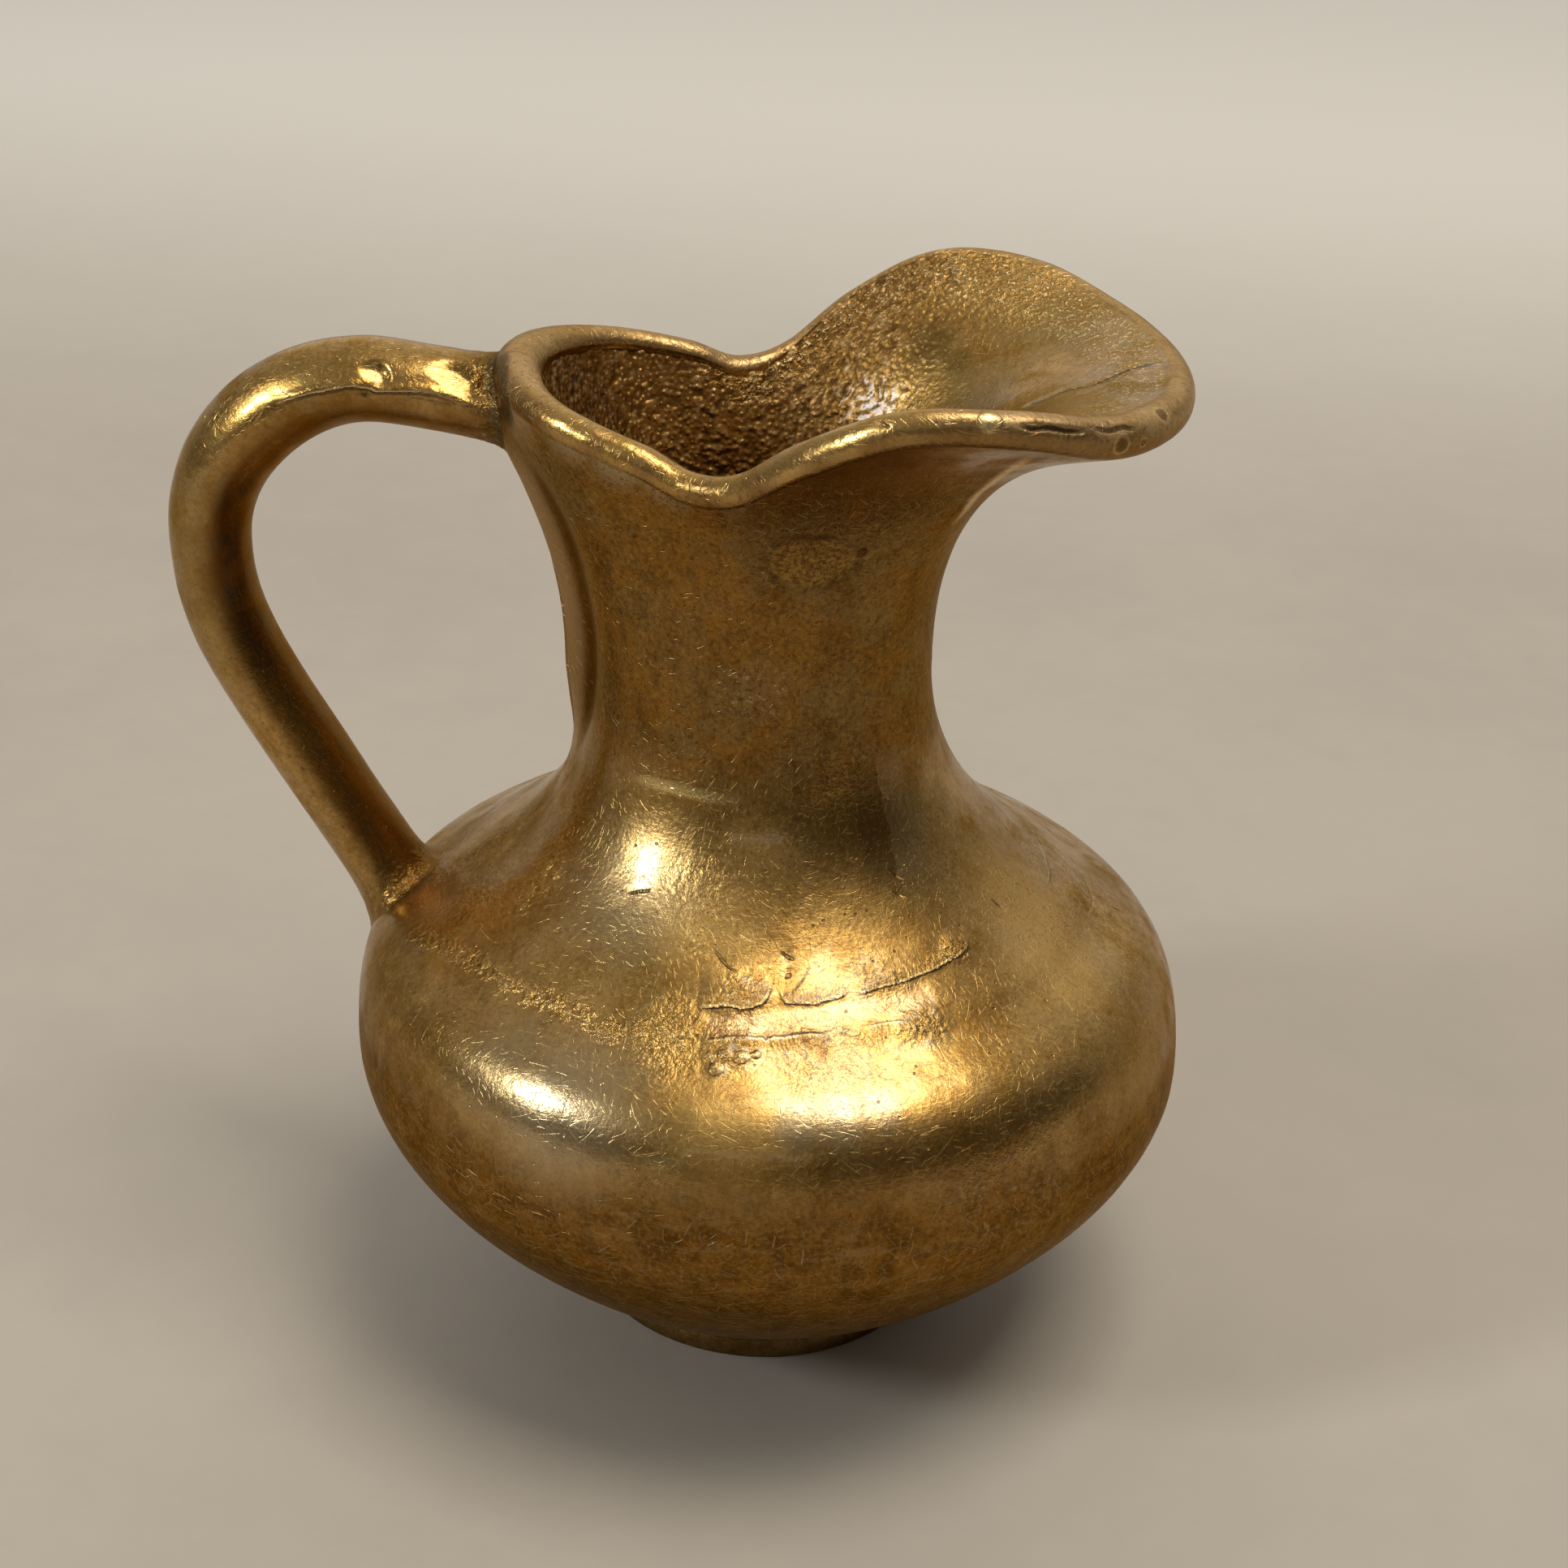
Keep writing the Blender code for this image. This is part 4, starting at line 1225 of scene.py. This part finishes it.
def brass(name, details, tarnish=0.4, rough=0.27):
    """Worn cast brass: patches of patina, tarnish, dark specks, scratches and a filed surface."""
    look = Look(name)
    look.flat = look.add("ShaderNodeUVMap", uv_map="chart").outputs[0]
    patch = look.noise(17.0, 4.0, 0.6)
    cloud = look.noise(4.5, 6.0, 0.66)
    mottle = look.noise(1.2, 4.0, 0.7)
    look.color = look.mix(patch.rise(0.36, 0.62), GOLD, TAN)
    look.lay(cloud.rise(0.42, 0.72) * 0.55, UMBER)
    look.lay(mottle.rise(0.47, 0.7) * 0.45, UMBER)
    stain = look.noise(9.0, 5.0, 0.72, look.shifted(31.0, 11.0, 5.0))
    look.lay(stain.rise(0.5, 0.68) * tarnish, RUST)
    look.lay(stain.fall(0.32, 0.47) * 0.6, OLIVE)
    speck, number = look.cells(0.8)
    dots = speck.fall(0.05, 0.2) * number.rise(0.8, 0.84)
    look.lay(dots * 0.55, SOOT)
    grime = look.noise(0.38, 4.0, 0.7, look.shifted(3.0, 41.0, 17.0))
    look.lay(grime.rise(0.51, 0.66) * 0.55, UMBER)
    look.lay(grime.fall(0.33, 0.45) * 0.3, PALE)
    lines = scratches(look, SCRAPE_SIZES, 1)
    brush = look.noise(1.0, 2.0, 0.5, look.brushed(4, 6.0, 0.13)) * 0.007
    look.lay(lines * 0.16, PALE)
    look.gloss = rough + (cloud - 0.5) * 0.16 + (mottle - 0.5) * 0.12 + dots * 0.15 + lines * 0.06
    soft = look.noise(2.2, 1.0)
    fine = look.noise(0.36, 2.0, 0.5)
    look.height = soft * 0.05 + fine * 0.022 + brush - dots * 0.04 - lines * 0.008 - grime * 0.012
    worn = details(look)
    look.shader.inputs["Metallic"].default_value = 1.0
    look.shader.inputs["Specular Tint"].default_value = GRAZING
    look.shader.inputs["Coat Roughness"].default_value = LACQUER_ROUGHNESS
    lacquer = LACQUER * cloud.fall(0.4, 0.7) * (1.0 - worn)
    look.finish(1.0, Roughness=look.gloss.most(LEAST_ROUGHNESS), Coat_Weight=lacquer)
    return look.material


def handle_details(look):
    """Dark red-brown painted shade on the inner face, a crisp parting step and porous braze metal at the
    ends.
    """
    jitter = (look.noise(0.7, 3.0, 0.6) - 0.5) * 0.3
    outward = look.read("outward")
    # Painted shade: the inner face, turned to the body, is laid dark red-brown.
    inner = (outward + (look.noise(2.0, 4.0, 0.65) - 0.5) * 0.8).fall(-0.6, 0.3)
    shade_and_patina_noise = look.noise(1.5, 4.0).rise(0.4, 0.7)
    along = look.read("along")
    bend = along.between(DARK_BEND)
    look.lay(bend * 0.45, OLIVE)
    look.lay(inner * 0.8, look.mix(shade_and_patina_noise, EARTH, UMBER))
    # Painted shade: a dark band along the inner side of the bend.
    edge = outward + (look.noise(3.0, 4.0, 0.65) - 0.5) * 0.4
    look.lay(bend * edge.hump(-0.6, 0.45) * 0.9, look.mix(shade_and_patina_noise, DEEP, SOOT))
    look.gloss += inner * 0.06
    away, on = look.marks("parting")
    away = away + jitter
    look.height += on * away.between((-0.06, 0.06, 0.1, 0.9)) * 0.14
    # Painted shade on the low side of the parting step and a painted highlight along its raised edge.
    look.lay(on * away.hump(-0.12, 0.16) * 0.8, SOOT)
    look.lay(on * away.hump(0.12, 0.18) * 0.7, PALE)
    crumbs = look.noise(0.9, 3.0, 0.6)
    rough = look.read("rough")
    look.height += rough * crumbs * 0.45
    look.lay(rough * 0.75, BARK)
    # Painted highlight on the tops of the braze crumbs and painted shade between them.
    look.lay(rough * crumbs.rise(0.6, 0.68) * 0.6, PALE)
    look.lay(rough * crumbs.fall(0.34, 0.44) * 0.8, SOOT)
    look.lay((along + (shade_and_patina_noise - 0.5) * 0.6).fall(0.9, 1.7) * 0.85, PATINA)
    look.gloss += rough * 0.08
    return (inner * 0.6).most(rough)


def foot_details(look):
    """The foot is dull and darker all over, as painted shade under the belly."""
    grime = look.noise(1.4, 5.0, 0.7)
    # Painted shade: the foot under the belly is laid dark.
    look.lay(0.7, look.mix(grime.rise(0.4, 0.62), ASH, DEEP))
    look.gloss += 0.06
    return grime


def inside_details(look):
    """Sand-cast grain with a painted highlight on its tops and painted shade between, and a smoother
    spout with a glittering edge.
    """
    grain, grit = look.read("grain"), look.read("grit")
    # Painted highlight on the grain's tops and painted shade in its hollows.
    look.lay(grain * 0.8, look.mix(grit.rise(0.1, 0.75), UMBER, CLAY))
    look.lay(grit.fall(-0.15, 0.2) * grain * 0.45, SOOT)
    sand, _ = look.cells(0.42, "SMOOTH_F1")
    look.lay(grain * sand.fall(0.1, 0.3) * 0.5, SAND)
    look.lay(grain * sand.rise(0.5, 0.75) * 0.5, SOOT)
    look.height -= grain * sand * 0.16
    look.gloss += grain * 0.06
    spout = 1.0 - grain
    haze = look.noise(5.0, 4.0, 0.6)
    look.lay(spout * haze.rise(0.36, 0.62) * 0.7, OLIVE)
    glitter = look.noise(0.36, 2.0, 0.6)
    edge = look.read("edge")
    look.lay(edge * glitter.rise(0.56, 0.66) * 0.8, PALE)
    look.height += (edge * 0.10 + spout * 0.015) * glitter.rise(0.45, 0.7)
    smudge = look.read("smudge")
    look.lay((smudge + (haze - 0.5) * 1.2).rise(0.2, 1.0) * 0.4, SOOT)
    jitter = (look.noise(0.4, 3.0, 0.6) - 0.5) * 0.3
    away, on = look.marks("crack")
    away = away + jitter
    crumbs = look.noise(0.5, 2.0).rise(0.42, 0.56)
    look.lay(on * away.hump(0.32, 0.3) * crumbs * 0.9, PALE)
    # Painted shade in the crack.
    crack = on * abs(away).fall(0.07, 0.26)
    look.lay(crack * 0.9, SOOT)
    look.height -= crack * 0.3
    # Painted shade: darker deeper down inside the body.
    deep = (look.parts(look.place)[2] + (haze - 0.5) * 8.0).fall(*DARK_INSIDE)
    look.lay(deep * 0.75, look.mix(haze.rise(0.4, 0.6), DEEP, EARTH))
    look.gloss += deep * 0.2
    return (grain * 0.5 + smudge).most(deep)


def outside_details(look):
    """The brazed joint's laps and filed band, cracks, gouges, round marks, the stain and dull places."""
    up = look.parts(look.place)[2] + (look.noise(3.5, 4.0, 0.65) - 0.5) * 6.0
    glossy_painted_highlight = look.read("glossy_painted_highlight")
    low = up.fall(*BROWN_BELLY) * (1.0 - glossy_painted_highlight)
    neck = up.between(BROWN_NECK)
    blotch = look.noise(2.2, 6.0, 0.72)
    streak = look.noise(1.0, 5.0, 0.7, look.brushed(6, 3.2, 1.1))
    field = look.noise(8.0, 3.0, 0.6, look.shifted(7.0, 3.0, 19.0))
    hue = look.mix(field.rise(0.44, 0.56), EARTH, ASH)
    brown = look.mix(blotch.rise(0.42, 0.62), look.mix(0.6, hue, EARTH), DEEP)
    # Tarnish and painted shade: the lower belly is laid dark brown.
    look.lay(low * 0.82, brown)
    look.lay(low * streak.rise(0.5, 0.64) * 0.3, CLAY)
    look.lay(low * streak.fall(0.34, 0.46) * 0.3, DEEP)
    look.lay(neck * 0.7, look.mix(blotch.rise(0.44, 0.66), hue, DEEP))
    look.lay(look.read("rust") * blotch.fall(0.4, 0.6) * 0.6, RUST)
    matte, dark = look.read("matte"), look.read("dark")
    look.lay(matte * 0.7, SAND)
    look.lay(dark * blotch.rise(0.3, 0.55) * 0.8, BARK)
    on_bead = look.read("bead")
    bead = on_bead * (1.0 - glossy_painted_highlight)
    satin_painted_sheen = look.read("satin_painted_sheen")
    look.lay(bead * 0.35, SAND)
    # Painted sheen: honey on the satin places.
    look.lay(satin_painted_sheen * 0.55, HONEY)
    # Painted highlight: silver on the glossy places of the body and honey on those of the bead.
    look.lay((1.0 - on_bead) * glossy_painted_highlight * 0.5, SILVER)
    look.lay(on_bead * glossy_painted_highlight * 0.5, HONEY)
    # Painted shade on the bead's outer, lower side.
    look.lay(look.read("outer_side") * (1.0 - glossy_painted_highlight) * 0.6, UMBER)
    dull = low.most(neck)
    for share in (matte, dark, bead * 0.7, satin_painted_sheen * 0.6):
        dull = dull.most(share)
    dust = look.noise(0.38, 3.0, 0.65)
    look.lay(dull * dust.rise(0.53, 0.66) * 0.55, DEEP)
    look.lay(dull * dust.fall(0.34, 0.46) * 0.45, TAN)
    look.height += dull * dust * 0.035
    nicks = scratches(look, NICK_SIZES, 5)
    look.lay(nicks * dull * 0.5, SAND)
    look.height -= nicks * dull * 0.03
    look.gloss += dull * 0.07 + matte * 0.14 + satin_painted_sheen * 0.14 - glossy_painted_highlight * 0.05
    away, on = look.marks("border")
    away = away + (look.noise(1.6, 4.0, 0.6) - 0.5) * 1.2
    look.lay(on * away.rise(-0.05, 0.15) * 0.6, CLAY)
    look.lay(on * away.fall(-0.05, 0.15) * 0.6, BARK)
    jitter = (look.noise(0.8, 3.0, 0.6) - 0.5) * 0.7
    ragged = (look.noise(0.35, 3.0, 0.6) - 0.5) * 0.3
    scales = look.noise(1.0, 3.0, 0.6, look.brushed(8, 0.3, 0.8))
    for name in ("upper_lap", "lower_lap"):
        away, on = look.marks(name)
        away = away + ragged
        raised = away.between(LAP_SCALES)
        look.height += on * (raised * (scales - 0.5) * 0.16 + away.rise(-0.04, 0.05) * 0.04)
        # Painted shade in each lap's crease and a painted highlight along its raised edge.
        look.lay(on * abs(away + 0.05).fall(0.04, 0.12) * 0.95, SOOT)
        look.lay(on * away.hump(0.17, 0.14) * 0.8, PALE)
    away, on = look.marks("band")
    look.lay(on * abs(away).fall(0.5, 1.3) * 0.55, PINK)
    crumbs = look.noise(0.5, 3.0, 0.6)
    broken = look.noise(1.1, 2.0).rise(0.36, 0.56)
    away, on = look.marks("ridge")
    ridge = on * abs(away + jitter * 3.0).fall(0.2, 1.4) * broken
    rough = ridge.most(look.read("grain"))
    look.height += rough * crumbs * 0.26
    # Painted highlight on the crumbs' tops and painted shade between them.
    look.lay(rough * crumbs.rise(0.56, 0.68) * 0.6, PALE)
    look.lay(rough * crumbs.fall(0.33, 0.44) * 0.6, SOOT)
    # Painted reflection: the rib's filed facet is laid light sand. Painted shade with dirt: its valley is
    # laid dark.
    facet = look.read("facet")
    look.lay(facet * 0.6, SAND)
    look.lay(look.read("valley") * 0.85, DEEP)
    away, on = look.marks("joint")
    joint = on * (abs(away) + jitter).fall(0.85, 1.3)
    look.lay(joint * 0.85, PATINA)
    look.height += joint * crumbs * 0.12
    dull = dull.most(joint * 0.8)
    look.height += on_bead * look.noise(1.5, 2.0) * 0.12
    look.gloss += facet * 0.06
    # Painted highlight: the soft ridges are laid a bright gold.
    away, on = look.marks("soft_ridge")
    ring = on * (away + ragged).hump(0.0, 0.7)
    look.lay(ring, GLEAM)
    look.gloss -= ring * 0.14
    dull = dull * (1.0 - ring)
    for name, width, depth in (("gouge", 0.10, 0.22), ("crack", 0.16, 0.10)):
        away, on = look.marks(name)
        line = on * abs(away + jitter * 0.4).fall(width * 0.6, width * 1.8)
        look.height -= line * depth
        # Painted shade in the gouges and cracks.
        look.lay(line * 0.95, SOOT)
        dull = dull.most(line)
    spot = look.read("spot") + jitter * 0.4
    look.lay(spot.fall(0.6, 1.0) * 0.75, look.mix(on_bead, DEEP, BARK))
    look.lay(spot.hump(1.1, 0.25) * on_bead * 0.35, PALE)
    look.height -= spot.fall(0.7, 1.0) * 0.05
    drop = look.read("drop")
    look.height += look.maths("SQRT", (1.0 - drop * drop).most(0.0)) * 0.08
    # Painted shade in a ring round each bead off the rim.
    look.lay(drop.hump(1.05, 0.2) * (1.0 - on_bead) * 0.5, SOOT)
    look.lay(drop.fall(0.5, 1.0) * (0.15 + on_bead * 0.75), PALE)
    stain = look.read("stain") + jitter * 0.5
    look.lay(stain.hump(1.0, 0.25) * blotch.rise(0.35, 0.6) * 0.55, SOOT)
    speckled = look.mix(dust.rise(0.4, 0.6), TAN, BARK)
    look.lay(stain.fall(0.8, 1.0) * 0.6, speckled)
    return dull


# ---------------- pieces

outside = outside_skin()
inside = inside_skin()
outside_marks(outside)
inside_marks(inside)
outside_brass = brass("outside_brass", outside_details, rough=0.30)
inside_brass = brass("inside_brass", inside_details, rough=0.36)
handle_brass = brass("handle_brass", handle_details)
foot_brass = brass("foot_brass", foot_details, tarnish=0.2, rough=0.36)
wall = {"lump_height": 0.10, "lump_size": 13.0, "dent_height": 0.035, "dent_size": 3.4, "seed": 1.0}
cast(outside, outside_brass, grain_height=0.09, grain_size=0.7, **wall)
cast(inside, inside_brass, grain_height=0.12, grain_size=0.6, **wall)
handle = handle_skin(tree_of(outside.data), handle_brass)
store(handle.data, "shown", np.ones(len(handle.data.vertices)))
handle_marks(handle)
cast(handle, handle_brass, lump_height=0.13, lump_size=9.0, dent_height=0.03, dent_size=3.0,
     grain_height=0.20, grain_size=0.8, seed=3.0)
foot = foot_skin()
cast(foot, foot_brass, lump_height=0.08, lump_size=9.0, dent_height=0.06, dent_size=2.2,
     grain_height=0.0, grain_size=0.7, seed=4.0)

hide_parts("lower_bowl", "upper_body", "shoulder_braze")
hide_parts("handle", "handle_top_braze", "handle_root_braze")
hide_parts("foot", "foot_braze")
for piece in (outside, inside, handle, foot):
    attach(piece, "root")


# ---------------- floor, lamps and camera

FLOOR_SIZE = 2.5
FLOOR_NEAR = (0.43, 0.383, 0.32)
FLOOR_WORN = (0.40, 0.357, 0.30)
FLOOR_FAR = (0.74, 0.70, 0.64)
FLOOR_ROUGHNESS = 0.75
LAMP_TARGET = Vector((0.0, 0.0, 0.045))
SENSOR = 36.0

# How bright the room is all over, and what comes on top behind, on the handle's side and above
ROOM_LEVEL = 0.05
BEHIND_LEVEL = 0.38
LEFT_LEVEL = 0.08
ABOVE_LEVEL = 0.28

# Lamps: name, azimuth, elevation, distance, width and height in metres, how bright the face is, colour
LAMPS = (
    ("ceiling_lamp", 70, 75, 1.0, (0.50, 0.50), 8.6, (1.0, 0.94, 0.84)),
    ("window", -60, 28, 1.0, (0.14, 0.20), 42.0, (0.87, 0.92, 0.96)),
    ("far_window", 2, 23, 1.0, (0.5, 0.07), 1.6, (1.0, 0.95, 0.85)),
    ("back_wall", 180, 28, 1.2, (1.6, 0.7), 0.4, (1.0, 0.97, 0.92)),
)


def pale_floor():
    """A plain pale floor, lighter far behind the object."""
    data = bmesh.new()
    bmesh.ops.create_grid(data, x_segments=8, y_segments=8, size=FLOOR_SIZE)
    mesh = bpy.data.meshes.new("pale_floor")
    data.to_mesh(mesh)
    data.free()
    floor = placed("pale_floor", mesh)
    look = Look("pale_floor")
    fibre = look.noise(6.0, 4.0, 0.7)
    tone = (look.noise(60.0, 4.0, 0.6) * 0.75 + fibre * 0.25).rise(0.35, 0.65)
    look.color = look.mix(tone, FLOOR_NEAR, FLOOR_WORN)
    look.lay(look.parts(look.place)[1].rise(150.0, 500.0), FLOOR_FAR)
    look.height = fibre * 0.2
    look.shader.inputs["Roughness"].default_value = FLOOR_ROUGHNESS
    look.finish(0.3)
    mesh.materials.append(look.material)


def toward(azimuth, elevation):
    """Direction to a place round the object: azimuth 0 is the camera's side and 90 the spout's."""
    a, e = radians(azimuth), radians(elevation)
    return Vector((sin(a) * cos(e), -cos(a) * cos(e), sin(e)))


def soft_lamp(name, azimuth, elevation, distance, size, glow, color):
    """A rectangular soft box that faces the object."""
    data = bpy.data.lights.new(name, "AREA")
    data.shape = "RECTANGLE"
    data.size, data.size_y = size
    data.energy = glow * pi * size[0] * size[1]
    data.color = color
    lamp = placed(name, data)
    direction = toward(azimuth, elevation)
    lamp.location = LAMP_TARGET + direction * distance
    lamp.rotation_euler = direction.to_track_quat("Z", "Y").to_euler()


def room():
    """A soft grey room: lighter behind the object and on its handle side, dim before it."""
    world = bpy.data.worlds.new("room")
    world.use_nodes = True
    bpy.context.scene.world = world
    sheet = Sheet(world.node_tree)
    x, y, z = sheet.parts(sheet.add("ShaderNodeTexCoord").outputs["Generated"])
    behind = y.rise(-0.1, 0.8)
    left = x.fall(-0.7, 0.3)
    above = z.rise(0.3, 0.9)
    level = ROOM_LEVEL + behind * BEHIND_LEVEL + left * LEFT_LEVEL + above * ABOVE_LEVEL
    color = sheet.mix(behind, (1.0, 0.93, 0.82), (1.0, 0.97, 0.93))
    sheet.link(world.node_tree.nodes["Background"], Color=color, Strength=level)


def photo_camera():
    """The camera at the photograph's place, with its angle of view."""
    data = bpy.data.cameras.new("photo_camera")
    data.sensor_width = SENSOR
    data.lens = FOCUS / FRAME_SIZE * SENSOR
    data.clip_start = 0.01
    camera = placed("photo_camera", data)
    turn = Matrix((EYE_RIGHT, EYE_UP, EYE_BACK)).transposed()
    camera.matrix_world = Matrix.Translation(EYE) @ turn.to_4x4()
    bpy.context.scene.camera = camera


pale_floor()
room()
for lamp in LAMPS:
    soft_lamp(*lamp)
photo_camera()
bpy.context.scene.view_settings.view_transform = "Standard"
